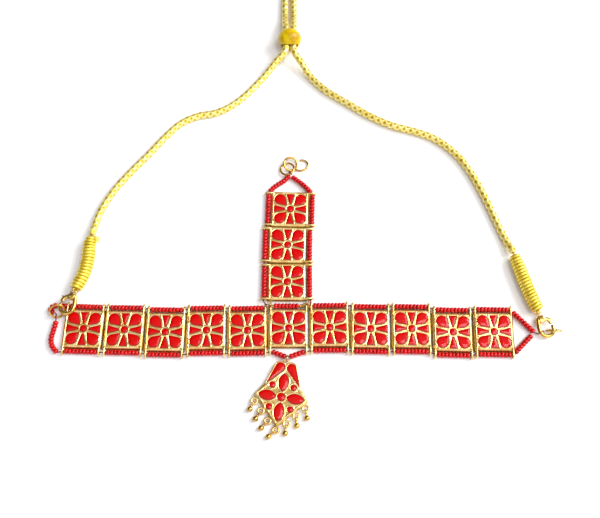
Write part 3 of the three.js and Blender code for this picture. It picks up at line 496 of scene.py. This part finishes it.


# Vitreous enamel fused into gilt brass cells: glossy scarlet, darker toward the wires, with a
# faint orange-peel skin. The gilding round it is polished, with painted olive shade along the tile's edge and
# sides.
enamelled, tree, shader, place = start_material("vitreous_enamel_on_gilt_brass")
leaf, wear = gold_colour(tree, place, GOLD_WORN, GOLD_LEAF)
depth = add_node(tree, "ShaderNodeAttribute", {}, attribute_name="depth").outputs["Fac"]
unshaded, cell, off_wire_share = [
    add_node(tree, "ShaderNodeMapRange", {"Value": depth, "From Min": low, "From Max": high}).outputs["Result"]
    for low, high in ((-2.6, -1.0), (-0.03, 0.03), (0.0, 0.7))
]
# Toward the rim and walls the gilding is mixed into olive painted shade.
gold = add_node(tree, "ShaderNodeMix", {"Factor": unshaded, 6: linear(EDGE_PAINTED_SHADE), 7: leaf}, data_type="RGBA").outputs[2]
# The enamel is darker toward the wires: deep red at a cell's edge, shading to scarlet 0.7 mm in.
reds = {"Factor": off_wire_share, 6: linear(ENAMEL_DEEP), 7: linear(ENAMEL_RED)}
red = add_node(tree, "ShaderNodeMix", reds, data_type="RGBA")
tint = add_node(tree, "ShaderNodeMix", {"Factor": cell, 6: gold, 7: red.outputs[2]}, data_type="RGBA")
metal = add_node(tree, "ShaderNodeMapRange", {"Value": cell, "To Min": GILDING_METALLIC, "To Max": 0.0})
polish = add_node(tree, "ShaderNodeMapRange", {"Value": wear, "To Min": 0.1, "To Max": 0.2}).outputs["Result"]
rough = add_node(tree, "ShaderNodeMix", {0: cell, 2: polish, 3: 0.09}, data_type="FLOAT")
peel = add_node(tree, "ShaderNodeTexNoise", {"Vector": place, "Scale": 700, "Detail": 1})
bump = add_node(tree, "ShaderNodeBump", {"Height": peel.outputs["Fac"], "Strength": 0.25, "Distance": 0.0001})
surface = {"Base Color": tint.outputs[2], "Metallic": metal.outputs["Result"], "Roughness": rough.outputs[0]}
set_inputs(tree, shader, {**surface, "Normal": bump.outputs["Normal"], "Specular IOR Level": 0.28})

tile_face, tile_depth = tile_skin()
tile_loops = [corner_loop(along, side) for along in (-LOOP_ALONG, LOOP_ALONG) for side in (-1, 1)]
tile_values = np.append(tile_depth, np.full(sum(len(points) for points, _ in tile_loops), -1.0))
for line, places in (("band", band_places), ("strip", strip_places)):
    for i, spot in enumerate(places):
        parts = [(placed(points, *spot), faces) for points, faces in [tile_face, *tile_loops]]
        node = f"{line}_tile_{i + 1}"
        make_piece(f"enamelled_{node}", parts, enamelled, node, "gold", depth=tile_values)

# Bead strings: red glass seed beads on a thread that passes through the tiles' corner loops. The band's upper
# string holds the clasps' parts at both ends; the lower one passes over the left ring, and its right leg stops
# short of the point by its inset. The strip's two strings meet at the top ring.
BEAD_PITCH = 1.6
BEAD_ROUND = 10
THREAD_RADIUS = 0.28
SPACER_DIAMETER = 1.9
CRIMP_DIAMETER = 1.2
BEAD_RED = "#CA0004"
BEAD_DARK = "#A00004"
THREAD_RED = "#9A1014"
THREAD_DARK = "#300204"
RUN_HALF = 4.5 * BEAD_PITCH
PAST = LOOP_WIRE / 2 + CLEARANCE
CORNER_PAST = 1.0
MIDDLE_BEADS = (-6.6, 4.6)
MIDDLE_SPACERS = (5, 7.1)
DROP_LEG_INSET = 0.9
RIGHT_LEG_START = 1.4
UPPER_LEG_END = 0.3
LOWER_LEG_END = 1.9
JUNCTION_TOP = 4.5
JUNCTION_WIRE = 0.5
left_loop_start = [
    (-102.6, -11, 0), (-104.8, -8.6, 0), (-105.8, -5.4, 0), (-105.3, -1.8, 0), (-104.6, 1.4, 0),
    (-104.3, 3.2, 0.35),
]
left_loop_over_ring = [
    (-104.4, 3.3, 0.35), (-104.35, 4.4, 0.65), (-104.35, 5.4, 0.8), (-104.45, 6.2, 0.4), (-104.8, 6.9, 0),
    (-105.4, 7.2, 0),
]
left_loop_end = [(-105.8, 7.3, 0), (-107.1, 7.8, 0), (-107.4, 9.3, 0), (-106.2, 10.4, 0), (-104.6, 10.7, 0)]
top_legs = {
    -1: [(-7.9, 68.6, 0), (-5.2, 70.9, 0), (-3, 72.2, 0), (-1.2, 74, 0), (0.15, 75.3, 0.1)],
    1: [(8.4, 69, 0), (4.9, 72.2, 0), (2, 74.4, 0), (1.35, 74.95, 0)],
}
right_apex = np.array((109.9, -2, STRING_HEIGHT))
centre_apex = np.array((-0.25, -13.4, STRING_HEIGHT + 0.25))
CLAW_RADIUS = 3.1
ARM_RADIUS = 0.8
RING_WIRE = 0.8
CLASP_RING = 7.4
RING_LINE = (CLASP_RING - RING_WIRE) / 2
top_ring_place, top_ring_slope = np.array((-1, 79.1, 1.24)), (0.156, -0.15)
rng = np.random.default_rng(11)


def raised(points):
    """Route points lifted from the surface to the height of the strings."""
    return np.array(points, float) + (0, 0, STRING_HEIGHT)


def loop_of(spot, along, aside):
    """Where the thread passes through a tile's corner loop."""
    return placed((along * LOOP_ALONG, aside * STRING_OFFSET, STRING_HEIGHT), *spot)


def run_beside(spot, aside, start=-RUN_HALF, end=RUN_HALF):
    """Straight run of beads along one side of a tile."""
    return placed([(start, aside, STRING_HEIGHT), (end, aside, STRING_HEIGHT)], *spot)


def leg(start, end, start_inset, end_inset):
    """Straight run of beads between two points, less an inset at each."""
    reach = np.linalg.norm(end - start)
    return np.stack([start + (end - start) * start_inset / reach, end - (end - start) * end_inset / reach])


def turn_points(centre, outward, along, radius, sweeps):
    """Arc of thread round a wire, in the plane of the outward vector and the upright axis."""
    sweeps = np.radians(sweeps)[:, None]
    drift = np.linspace(-along, along, len(sweeps))[:, None] * np.array((1, 0, 0))
    return centre + drift + radius * (np.cos(sweeps) * np.asarray(outward) + np.sin(sweeps) * np.array((0, 0, 1)))


def seed_beads(path, diameter, pitch):
    """Beads strung along a path, with small differences in size and seat. Each is a profile with radius =
    cos^0.4 and reach = sin of the latitude, turned round the thread."""
    travel = travel_of(path)
    count = max(round(travel[-1] / pitch), 1)
    seat = (np.arange(count) + 0.5) * travel[-1] / count
    at = points_at(path, travel, seat)
    ahead, behind = points_at(path, travel, seat + 0.3), points_at(path, travel, seat - 0.3)
    axis = ahead - behind + rng.normal(0, 0.03, (count, 3))
    axis /= np.linalg.norm(axis, axis=1, keepdims=True)
    side = np.cross((0.0, 0.0, 1.0), axis)
    side /= np.linalg.norm(side, axis=1, keepdims=True)
    lift = np.cross(axis, side)
    latitude = np.radians([-82, -52, -18, 18, 52, 82])[None, :, None, None]
    angle = full_turn(BEAD_ROUND)[None, None, :, None]
    size = (diameter / 2 * rng.uniform(1.0, 1.06, count))[:, None, None, None]
    seat_along = 0.54 * travel[-1] / count * np.sin(latitude) * axis[:, None, None]
    seat_round = np.cos(angle) * side[:, None, None] + np.sin(angle) * lift[:, None, None]
    return shells(at[:, None, None] + seat_along + size * np.cos(latitude) ** 0.4 * seat_round)


def string_parts(stretches):
    """Skins of a string from its stretches in order, each a kind and a path; one thread runs through all."""
    thread, beads, metal = [], [], []
    for kind, path in stretches:
        thread.append(path)
        if kind == "beads":
            beads.append(seed_beads(path, BEAD_DIAMETER, BEAD_PITCH))
        elif kind == "spacers":
            metal.append(seed_beads(path, SPACER_DIAMETER, 0.7))
        elif kind == "crimp":
            metal.append(tube(np.linspace(path[0], path[-1], 6), CRIMP_DIAMETER / 2, 12))
    line = np.concatenate(thread)
    line = line[np.append(True, np.linalg.norm(np.diff(line, axis=0), axis=1) > 0.02)]
    return beads, metal, [tube(line, THREAD_RADIUS, 6)]


def add_material(piece, material, first, last):
    """Gives the faces from first to last another material."""
    piece.data.materials.append(material)
    indices = np.empty(len(piece.data.polygons), np.int32)
    piece.data.polygons.foreach_get("material_index", indices)
    indices[first:last] = len(piece.data.materials) - 1
    piece.data.polygons.foreach_set("material_index", indices)


# Opaque pressed glass, fire-polished: even scarlet with a hard small gloss, a little darker from bead to bead.
bead_glass, tree, shader, place = start_material("opaque_red_glass")
shade = add_node(tree, "ShaderNodeTexNoise", {"Vector": place, "Scale": 480, "Detail": 1}).outputs["Fac"]
ramp = add_node(tree, "ShaderNodeValToRGB", {"Fac": shade}, ((0.3, linear(BEAD_DARK)), (0.6, linear(BEAD_RED))))
surface = {"Base Color": ramp.outputs["Color"], "Roughness": 0.2, "IOR": 1.52, "Specular IOR Level": 0.34}
set_inputs(tree, shader, surface)

# Waxed polyester thread: dark red, dull, with a fine twist.
thread_yarn, tree, shader, place = start_material("waxed_red_thread")
twist = add_node(tree, "ShaderNodeTexNoise", {"Vector": place, "Scale": 3000, "Detail": 1}).outputs["Fac"]
ramp = add_node(tree, "ShaderNodeValToRGB", {"Fac": twist}, ((0, linear(THREAD_DARK)), (1, linear(THREAD_RED))))
set_inputs(tree, shader, {"Base Color": ramp.outputs["Color"], "Roughness": 0.6})

# Gilt brass wire and castings: electroplated gold over polished brass, mirror bright where rubbed and slightly
# hazed elsewhere.
WIRE_WORN = "#BC8E40"
WIRE_LEAF = "#E2BC66"
gilt, tree, shader, place = start_material("gilt_brass")
gold, wear = gold_colour(tree, place, WIRE_WORN, WIRE_LEAF)
polish = add_node(tree, "ShaderNodeMapRange", {"Value": wear, "To Min": 0.08, "To Max": 0.22}).outputs["Result"]
marks = add_node(tree, "ShaderNodeTexNoise", {"Vector": place, "Scale": 900, "Detail": 2})
bump = add_node(tree, "ShaderNodeBump", {"Height": marks.outputs["Fac"], "Strength": 0.15, "Distance": 0.0001})
surface = {"Base Color": gold, "Metallic": 1.0, "Roughness": polish, "Normal": bump.outputs["Normal"]}
set_inputs(tree, shader, surface)


def make_string(name, stretches, node):
    """One string: beads first, then the gilt spacers and crimps, then the thread."""
    beads, metal, thread = string_parts(stretches)
    piece = make_piece(name, beads + metal + thread, bead_glass, node, "seed_beads")
    counts = [sum(len(faces) for _, faces in group) for group in (beads, metal, thread)]
    add_material(piece, gilt, counts[0], counts[0] + counts[1])
    add_material(piece, thread_yarn, counts[0] + counts[1], sum(counts))


def arm_turn():
    """Thread round the right claw's back arm."""
    sweeps = np.radians([-150, -90, -45, 0, 45, 90, 140])
    reach = CLAW_RADIUS - (ARM_RADIUS + CLEARANCE + THREAD_RADIUS) * np.cos(sweeps)
    radial = math.radians(187)
    lift = (ARM_RADIUS + CLEARANCE + THREAD_RADIUS) * np.sin(sweeps)
    return at_clasp(np.stack([reach * math.cos(radial), reach * math.sin(radial), lift], axis=1), "right")


loop_end = raised(left_loop_end)
top_stretches = [
    ("beads", smooth_route(loop_end, 0.4)[0]),
    ("beads", leg(loop_end[-1], loop_of(band_places[0], -1, 1), BEAD_PITCH - CLEARANCE, PAST)),
]
bottom_stretches = [
    ("thread", smooth_route(raised(left_loop_over_ring)[::-1], 0.3)[0]),
    ("beads", smooth_route(raised(left_loop_start)[::-1], 0.4)[0]),
]
for i, spot in enumerate(band_places):
    if i == MIDDLE:
        top_stretches.append(("beads", run_beside(spot, STRING_OFFSET, *MIDDLE_BEADS)))
        top_stretches.append(("spacers", run_beside(spot, STRING_OFFSET, *MIDDLE_SPACERS)))
        down = leg(loop_of(spot, -1, -1), centre_apex, DROP_LEG_INSET, DROP_LEG_INSET)
        up = leg(centre_apex, loop_of(spot, 1, -1), DROP_LEG_INSET, DROP_LEG_INSET)
        bend = np.stack([down[1], up[0]])
        bottom_stretches += [("beads", down), ("thread", bend), ("beads", up)]
    else:
        top_stretches.append(("beads", run_beside(spot, STRING_OFFSET)))
        bottom_stretches.append(("beads", run_beside(spot, -STRING_OFFSET)))
upper_leg = leg(loop_of(band_places[-1], 1, 1), right_apex, RIGHT_LEG_START, UPPER_LEG_END)
lower_leg = leg(loop_of(band_places[-1], 1, -1), right_apex, RIGHT_LEG_START, LOWER_LEG_END)
top_stretches.append(("beads", upper_leg))
top_stretches.append(("thread", smooth_route(arm_turn(), 0.3)[0]))
bottom_stretches.append(("beads", lower_leg))
make_string("seed_beads_band_top", top_stretches, "band_string_top")
make_string("seed_beads_band_bottom", bottom_stretches, "band_string_bottom")

hold = top_ring_place + RING_LINE * np.array((0.45, -0.89, 0.45 * top_ring_slope[0] - 0.89 * top_ring_slope[1]))
strip_ring_centres = {}
for side, hand in ((-1, "left"), (1, "right")):
    joint = (loop_of(band_places[MIDDLE], side, 1) + loop_of(band_places[MIDDLE + side], -side, 1)) / 2
    strip_ring_centres[side] = joint
    tail = JUNCTION_TOP - JUNCTION_WIRE - CLEARANCE - THREAD_RADIUS
    low = placed((-LOOP_ALONG, -side * STRING_OFFSET, STRING_HEIGHT), *strip_places[0])
    middle = joint[0] * 0.4 + low[0] * 0.6 + side * 0.7
    route = [
        (joint[0] - side * 1.5, joint[1] - 0.1, tail + 0.1), (joint[0] - side * 0.6, joint[1] + 0.1, tail),
        (joint[0], joint[1] + 0.2, tail), (joint[0] + side * 0.7, joint[1] + 0.55, tail - 0.05),
        (middle, low[1] - 1.9, tail - 0.6), (low[0] + side * 0.15, low[1] - 0.9, low[2] + 0.55), tuple(low),
        (low[0], low[1] + PAST, low[2]),
    ]
    crimp = np.array([(joint[0] - side * 2.6, joint[1] - 0.1, tail + 0.1), route[0]])
    stretches = [("crimp", crimp), ("thread", smooth_route(route, 0.3)[0])]
    stretches += [("beads", run_beside(spot, -side * STRING_OFFSET)) for spot in strip_places]
    legs = raised(top_legs[side])
    start = placed((LOOP_ALONG, -side * STRING_OFFSET, STRING_HEIGHT), *strip_places[-1])
    first = start + (legs[0] - start) * CORNER_PAST / np.linalg.norm(legs[0] - start)
    stretches.append(("beads", smooth_route(np.vstack([first, legs]), 0.4)[0]))
    if side < 0:
        turn = turn_points(hold, (-0.45, 0.89, 0), 0.42, 1.1, [-150, -90, -45, 0, 45, 90, 150])
        stretches.append(("thread", smooth_route(turn, 0.2)[0]))
    make_string(f"seed_beads_strip_{hand}", stretches, f"strip_string_{hand}")

# Junction rings: an upright oval ring of gilt wire at each foot of the strip, closed round the band's upper
# thread and the strip's.
for side, hand in ((-1, "left"), (1, "right")):
    around = full_turn(40)
    oval = np.stack([0 * around, 1.45 * np.cos(around), 2.0 * np.sin(around) + 1.0], axis=1)
    ring = tube(oval + strip_ring_centres[side], JUNCTION_WIRE / 2, 10, ring=True)
    make_piece(f"junction_ring_{hand}", [ring], gilt, f"strip_ring_{hand}", "gold")


# Top ring and hair hook: a jump ring of round gilt wire holds the strip's strings and the hook's closed eye, and
# the hook is the same wire bent round to a blunt tip.
def wire_ring(place, slope, diameter, wire):
    """Circle of wire whose plane rises by the slope along each axis."""
    u = np.array((1, 0, slope[0])) / math.hypot(1, slope[0])
    normal = np.array((-slope[0], -slope[1], 1))
    v = np.cross(normal / np.linalg.norm(normal), u)
    around = full_turn(56)[:, None]
    path = np.asarray(place) + (diameter - wire) / 2 * (np.cos(around) * u + np.sin(around) * v)
    return tube(path, wire / 2, 14, ring=True)


TOP_RING = (7.5, 1.0)
HOOK_EYE = (7.5, 1.05)
HOOK_RADIUS = 0.45
hook_route = [
    (2.6, 79.05, 0.65), (5, 78.5, 0.6), (7.2, 78.9, 0.6), (8.7, 80.2, 0.6), (9, 81.9, 0.6), (8.1, 83.4, 0.6),
    (6.4, 84.1, 0.6), (4.9, 83.9, 0.6),
]
hook_path, hook_travel = smooth_route(hook_route, 0.25)
hook_radius = HOOK_RADIUS * np.sqrt(np.clip((hook_travel[-1] - hook_travel) / HOOK_RADIUS, 0.1, 1))[:, None]
make_piece("jump_ring_top", [wire_ring(top_ring_place, top_ring_slope, *TOP_RING)], gilt, "top_ring", "gold")
hook_parts = [wire_ring((0.7, 81.7, 1.26), (-0.21, 0.14), *HOOK_EYE), tube(hook_path, hook_radius, 14)]
make_piece("hair_hook_wire", hook_parts, gilt, "hair_hook", "gold")

# Drop: a kite with two leaves above it, stamped and enamelled like the tiles, with a soldered eye at its top and
# seven small rings along its lower edges.
DROP_PLACE = (-3.05, -31, -8.9)
DROP_WIDE = 10.8
DROP_HIGH = 12
DROP_BORDER = 1.3
DROP_GROUND = 2.0
FRINGE_HEIGHT = 1.3
FRINGE_PITCH = 5.25
FRINGE_DIAMETER = 3.6
FRINGE_WIRE = 1.05
DROP_EYE_AT = 15.8
DROP_EYE = 2.8
DROP_EYE_WIRE = 0.55
LEAF_TOP = (2.45, 13.1)
LEAF_TIP = (7.1, 5.5)


def drop_reach(angle):
    """Distance from the middle to the plate's edge at each angle: the farthest crossing with its outline."""
    sweep_out = np.radians(np.linspace(135, 20, 12))
    lobe = np.stack([2.3 + 2.9 * np.cos(sweep_out), 13.2 + 2.9 * np.sin(sweep_out)], axis=1)
    right = np.vstack([lobe, (DROP_WIDE * 0.74, DROP_HIGH * 0.44), (DROP_WIDE + DROP_BORDER, -0.3)])
    left = (right * (-1, 1))[::-1]
    outline = np.vstack([right, (0, -DROP_HIGH - DROP_BORDER), left, (0, 13.8)])
    a, b = outline[:, None], np.roll(outline, -1, axis=0)[:, None] - outline[:, None]
    d = np.stack([np.cos(angle), np.sin(angle)], axis=-1)[None]
    cross = b[..., 0] * d[..., 1] - b[..., 1] * d[..., 0]
    cross = np.where(np.abs(cross) < 1e-9, 1e-9, cross)
    share = -(a[..., 0] * d[..., 1] - a[..., 1] * d[..., 0]) / cross
    away = (a[..., 0] * b[..., 1] - a[..., 1] * b[..., 0]) / -cross
    return np.where((share >= -1e-6) & (share <= 1 + 1e-6) & (away > 0), away, 0).max(axis=0)


def leaf_shape(x, y, centre, half_long, half_wide):
    """Signed distance to a pointed leaf, upright about its centre: two arcs that meet at its points."""
    ax, ay = np.abs(x - centre[0]), np.abs(y - centre[1])
    away = (half_long**2 - half_wide**2) / (2 * half_wide)
    beyond = (ay - half_long) * away > ax * half_long
    return np.where(beyond, np.hypot(ax, ay - half_long), np.hypot(ax + away, ay) - away - half_wide)


def drop_depth(x, y):
    """How far a point lies inside the nearest cell of the drop: four pointed leaves in a cross, a middle dot,
    four small dots and the two upper leaves."""
    ax, ay = np.abs(x), np.abs(y)
    upright = leaf_shape(ax, ay, (0, 6.5), 4.2, 2.3)
    level = leaf_shape(ay, ax, (0, 6.2), 4.0, 2.3)
    upper = teardrop(ax, y, LEAF_TIP, LEAF_TOP, 0.15, 2.1)
    small = np.hypot(ax - 4.7, ay - 4.8) - 1.42
    return -np.minimum.reduce([upright, level, upper, small, np.hypot(x, y) - 1.85])


def drop_skin():
    """Rows of a polar grid from the middle of the face to the edge, down its wall and back to the middle of the
    back. A wire follows the kite's edge. Returns the skin and how far each point lies inside a cell."""
    angle = full_turn(260)
    reach = drop_reach(angle)[None]
    share = np.linspace(0.01, 1, 74)[:, None]
    x, y = share * reach * np.cos(angle), share * reach * np.sin(angle)
    inside = drop_depth(x, y)
    slant = math.hypot(DROP_WIDE, DROP_HIGH)
    kite = (np.abs(x) * DROP_HIGH + np.abs(y) * DROP_WIDE - DROP_WIDE * DROP_HIGH) / slant
    wire = 0.32 * np.sqrt(np.clip(1 - (kite / 0.4) ** 2, 0, 1))
    height = np.maximum(relief_height(inside, DROP_GROUND), np.where(inside > -0.2, 0, DROP_GROUND + wire))
    edge = np.clip((1 - share) * reach / 0.7, 0, 1)
    height -= 0.6 * (1 - np.sqrt(1 - (1 - edge) ** 2))
    rows = np.stack([x, y, height], axis=-1)
    wall = np.stack([rows[-1] * (1, 1, z) for z in (0.5, 0)] + [rows[-1] * (0.4, 0.4, 0)])
    grid = np.concatenate([rows, wall])[:, ::-1]
    depth = np.concatenate([inside, np.full(wall.shape[:2], -1.0)])[:, ::-1]
    return shells(grid[None]), np.append(depth.ravel(), [inside[0, 0], -1.0])


plate, plate_depth = drop_skin()
fringe_seats = [(0, -DROP_HIGH - DROP_BORDER - FRINGE_DIAMETER / 2 + 0.75)]
edge_out = np.array((DROP_HIGH - 0.3, -DROP_WIDE)) / math.hypot(DROP_HIGH - 0.3, DROP_WIDE)
edge_along = np.array((DROP_WIDE, DROP_HIGH - 0.3)) / math.hypot(DROP_WIDE, DROP_HIGH - 0.3)
for side in (-1, 1):
    for step in (1, 2, 3):
        outward = DROP_BORDER * 0.7 + FRINGE_DIAMETER / 2 - 0.35
        seat = edge_along * FRINGE_PITCH * (step - 0.33) + edge_out * outward
        fringe_seats.append((side * seat[0], seat[1] - DROP_HIGH))
parts = [plate, wire_ring((0, DROP_EYE_AT, FRINGE_HEIGHT), (0, 0), DROP_EYE, DROP_EYE_WIRE)]
parts += [wire_ring((x, y, FRINGE_HEIGHT), (0, 0), FRINGE_DIAMETER, FRINGE_WIRE) for x, y in fringe_seats]
values = np.append(plate_depth, np.full(sum(len(points) for points, _ in parts[1:]), -1.0))
parts = [(placed(points, *DROP_PLACE), faces) for points, faces in parts]
make_piece("enamelled_drop", parts, enamelled, "drop", "gold", depth=values)

# Fringe: seven hollow gilt balls, each on a wire eye that hangs in its ring and lies where it fell.
BALL_RADIUS = 1.3
BALL_REACH = 4.1
BALL_EYE = 0.9
BALL_EYE_RADIUS = 0.28
NECK_LONG = 0.7
NECK_RADIUS = 0.5
hang_angles = {(-1, 3): -118, (-1, 2): -124, (-1, 1): -132, (0, 0): -138, (1, 1): -97, (1, 2): -84, (1, 3): -80}
places = [(0, 0)] + [(side, step) for side in (-1, 1) for step in (1, 2, 3)]
for (side, step), (x, y) in zip(places, fringe_seats):
    seat = placed((x, y, FRINGE_HEIGHT), *DROP_PLACE)
    hang = math.radians(hang_angles[side, step])
    away = np.array((math.cos(hang), math.sin(hang), 0))
    middle = seat + away * ((FRINGE_DIAMETER - FRINGE_WIRE) / 2 + 0.05)
    around = full_turn(32)[:, None]
    eye_path = middle + BALL_EYE * (np.cos(around) * away + np.sin(around) * np.array((0, 0, 1)))
    ball_at = (seat + away * BALL_REACH) * (1, 1, 0) + (0, 0, BALL_RADIUS)
    neck = middle + away * BALL_EYE
    pole = (ball_at - neck) / np.linalg.norm(ball_at - neck)
    ball_span = (1 - np.cos(np.linspace(0, np.pi, 18)[1:])) * BALL_RADIUS
    span = np.concatenate([np.linspace(0, NECK_LONG, 5), NECK_LONG + ball_span])
    ball_reach = np.sqrt(np.clip(BALL_RADIUS**2 - (ball_span - BALL_RADIUS) ** 2, 0.01, None))
    reach = np.concatenate([np.full(5, NECK_RADIUS), ball_reach])
    reach = np.maximum(reach, np.where(span < 1.0, NECK_RADIUS, 0))
    ball_path = ball_at - pole * (BALL_RADIUS + NECK_LONG) + span[:, None] * pole
    parts = [tube(eye_path, BALL_EYE_RADIUS, 10, ring=True), tube(ball_path, reach[:, None], 20)]
    number = 4 + side * step
    make_piece(f"fringe_drop_{number}", parts, gilt, f"fringe_ball_{number}", "gold")

# Bail: an upright ring of gilt wire that joins the drop's eye to the lower string.
BAIL = 3.5
BAIL_WIRE = 0.55
eye_top = placed((0, DROP_EYE_AT + (DROP_EYE - DROP_EYE_WIRE) / 2, FRINGE_HEIGHT), *DROP_PLACE)
around = full_turn(40)
bail_middle = np.array((eye_top[0], (eye_top[1] + centre_apex[1]) / 2, BAIL / 2 + 0.05))
bail = bail_middle + (BAIL - BAIL_WIRE) / 2 * np.stack([0 * around, np.cos(around), np.sin(around)], axis=1)
make_piece("bail_ring", [tube(bail, BAIL_WIRE / 2, 12, ring=True)], gilt, "drop_bail", "gold")

# Lobster clasps: a cast claw with two cheeks and an eye, and a lever with a thumb tab that turns on the pin
# between the cheeks. A jump ring hangs in each claw.
PIVOT = (0.55, 4.7)
HEAD = (-0.1, 5.0)
CHEEK_RADIUS = 1.6
HALF_SLOT = 0.7
HALF_HEAD = 1.1


def disc(middle, radius, low, high, rounding=0.18):
    """Flat disc with a rounded edge: rows from the middle of one face over the edge to the other."""
    angle = full_turn(36)[None]
    outward = np.array([0.05, radius - rounding, radius - rounding * 0.3, radius])
    inward = np.array([0, 0, rounding * 0.3, rounding])
    reach = np.concatenate([outward, outward[::-1]])
    rise = np.concatenate([low + inward, (high - inward)[::-1]])
    x = middle[0] + reach[:, None] * np.cos(angle)
    y = middle[1] + reach[:, None] * np.sin(angle)
    return shells(np.stack([x, y, np.broadcast_to(rise[:, None], x.shape)], axis=-1)[None])


def blob(middle, reach):
    """Ball stretched along the axes: rows of latitude from pole to pole."""
    latitude = np.radians(np.linspace(-86, 86, 16))[:, None]
    angle = full_turn(24)[None]
    level = np.cos(latitude)
    unit = np.stack([level * np.cos(angle), level * np.sin(angle), np.sin(latitude) + 0 * angle], axis=-1)
    return shells((np.asarray(middle) + unit * reach)[None])


def clasp_parts():
    """Claw: a round bar that thins toward its tip along the back and round the bow, with cheeks, pin and eye."""
    bow = np.radians(np.linspace(180, 381, 11))
    route = [(-1.3, 6.2, 0), (-1.8, 5.2, 0), (-2.25, 4, 0), (-2.85, 2, 0)]
    route += [(CLAW_RADIUS * math.cos(a), CLAW_RADIUS * math.sin(a), 0) for a in bow]
    path, travel = smooth_route(route, 0.25)
    share = travel / travel[-1]
    radius = 0.98 - 0.24 * share**2
    radius *= np.sqrt(np.clip((travel[-1] - travel) / 0.6, 0.12, 1)) * np.sqrt(np.clip(travel / 0.6, 0.2, 1))
    faces = ((-HALF_HEAD, -HALF_SLOT), (HALF_SLOT, HALF_HEAD))
    cheeks = [disc(HEAD, CHEEK_RADIUS, low, high) for low, high in faces]
    return [
        tube(path, radius[:, None], 18),
        *cheeks,
        disc(PIVOT, 0.4, -HALF_HEAD - 0.05, HALF_HEAD + 0.05, 0.08),
        blob((-0.55, 6.5, 0), (0.85, 0.55, 0.95)),
        blob((-1.55, 5.6, 0), (0.5, 0.9, 1.0)),
        wire_ring((-0.1, CLASP_EYE, 0), (0, 0), 3, 0.65),
    ]


def lever_parts():
    """Lever: a flattened bar that bends from the hub and ends short of the claw's tip, with a thumb tab."""
    bar = [(1.3, 4.75, 0), (2.1, 4.35, 0), (2.75, 3.6, 0), (3.05, 2.6, 0), (2.96, 1.55, 0)]
    path, travel = smooth_route(bar, 0.2)
    thick = 0.88 * np.sqrt(np.clip((travel[-1] - travel) / 0.4, 0.2, 1))
    tab, tab_travel = smooth_route([(2.3, 3.6, 0), (3.2, 3.95, 0), (4.1, 4.2, 0)], 0.2)
    around = full_turn(36)
    circle = np.stack([np.cos(around), np.sin(around), 0 * around], axis=1)
    corners = ((0.55, -0.4), (0.55, 0.4), (1.15, 0.4), (1.15, -0.4))
    rows = [reach * circle + (*PIVOT, rise) for reach, rise in corners]
    hub = shells(np.array(rows)[None], ring=True)
    knob = 0.36 + 0.12 * (tab_travel / tab_travel[-1]) ** 2
    knob *= np.sqrt(np.clip((tab_travel[-1] - tab_travel) / 0.35, 0.15, 1))
    return [
        tube(path, thick[:, None], 16, flat=0.58),
        hub,
        tube(tab, knob[:, None], 14),
    ]


ring_places = {"left": ((-103.6, 7.4, 3.5), (-0.486, 1.344)), "right": ((118.2, -1.65, 3.55), (0, -2.75))}
for hand in ("left", "right"):
    body = [(at_clasp(points, hand), faces) for points, faces in clasp_parts()]
    lever = [(at_clasp(points, hand), faces) for points, faces in lever_parts()]
    make_piece(f"lobster_claw_{hand}", body, gilt, f"clasp_body_{hand}", "gold")
    make_piece(f"lobster_lever_{hand}", lever, gilt, f"clasp_lever_{hand}", "gold", body=f"lever_{hand}")
    ring = wire_ring(*ring_places[hand], CLASP_RING, RING_WIRE)
    make_piece(f"jump_ring_{hand}", [ring], gilt, f"clasp_ring_{hand}", "gold")

# Table top: a large sheet of smooth white card, a hair below the piece.
TABLE_HALF = 1.6
TABLE_DROP = 0.00005
floor_mesh = bpy.data.meshes.new("table_top")
corners = [(x * TABLE_HALF, y * TABLE_HALF, -TABLE_DROP) for x, y in ((-1, -1), (1, -1), (1, 1), (-1, 1))]
floor_mesh.from_pydata(corners, [], [(0, 1, 2, 3)])
card, tree, shader, place = start_material("white_card")
grain = add_node(tree, "ShaderNodeTexNoise", {"Vector": place, "Scale": 900, "Detail": 2}).outputs["Fac"]
ramp = add_node(tree, "ShaderNodeValToRGB", {"Fac": grain}, ((0, linear("#F4F3F4")), (1, linear("#FAFAFB"))))
set_inputs(tree, shader, {"Base Color": ramp.outputs["Color"], "Roughness": 0.85})
floor_mesh.materials.append(card)
floor = bpy.data.objects.new("table_top", floor_mesh)
bpy.context.scene.collection.objects.link(floor)

# Light: a room that is pale overhead toward the right and near side and dark beyond, a large soft box high at the
# far right and a smaller, weaker one overhead.
ROOM_DARK = (0.16, 0.155, 0.16, 1)
ROOM_PALE = (1.1, 1.1, 1.12, 1)
world = bpy.data.worlds.new("room")
bpy.context.scene.world = world
world.use_nodes = True
tree = world.node_tree
direction = add_node(tree, "ShaderNodeTexCoord", {}).outputs["Generated"]
toward = add_node(tree, "ShaderNodeVectorMath", {0: direction, 1: (0.6, -0.7, 0.39)}, operation="DOT_PRODUCT")
share = add_node(tree, "ShaderNodeMapRange", {"Value": toward.outputs["Value"], "From Min": -1.0, "From Max": 1.0})
stops = (0.45, ROOM_DARK), (0.78, ROOM_PALE)
ramp = add_node(tree, "ShaderNodeValToRGB", {"Fac": share.outputs["Result"]}, stops)
set_inputs(tree, tree.nodes["Background"], {"Color": ramp.outputs["Color"], "Strength": 1.0})


def soft_box(name, place, aim, size, power):
    """Square area light that faces the aim point."""
    data = bpy.data.lights.new(name, "AREA")
    data.size = size
    data.energy = power
    lamp = bpy.data.objects.new(name, data)
    lamp.location = place
    back = np.array(place, float) - aim
    across = math.hypot(back[0], back[1])
    lamp.rotation_euler = (math.atan2(across, back[2]), 0, math.atan2(back[0], -back[1]))
    bpy.context.scene.collection.objects.link(lamp)


soft_box("key_light", (1.36, 0.55, 1.15), (0, 0.05, 0), 0.95, 34)
soft_box("overhead_light", (0.6, 0.0, 1.88), (0, 0.03, 0), 0.7, 10)
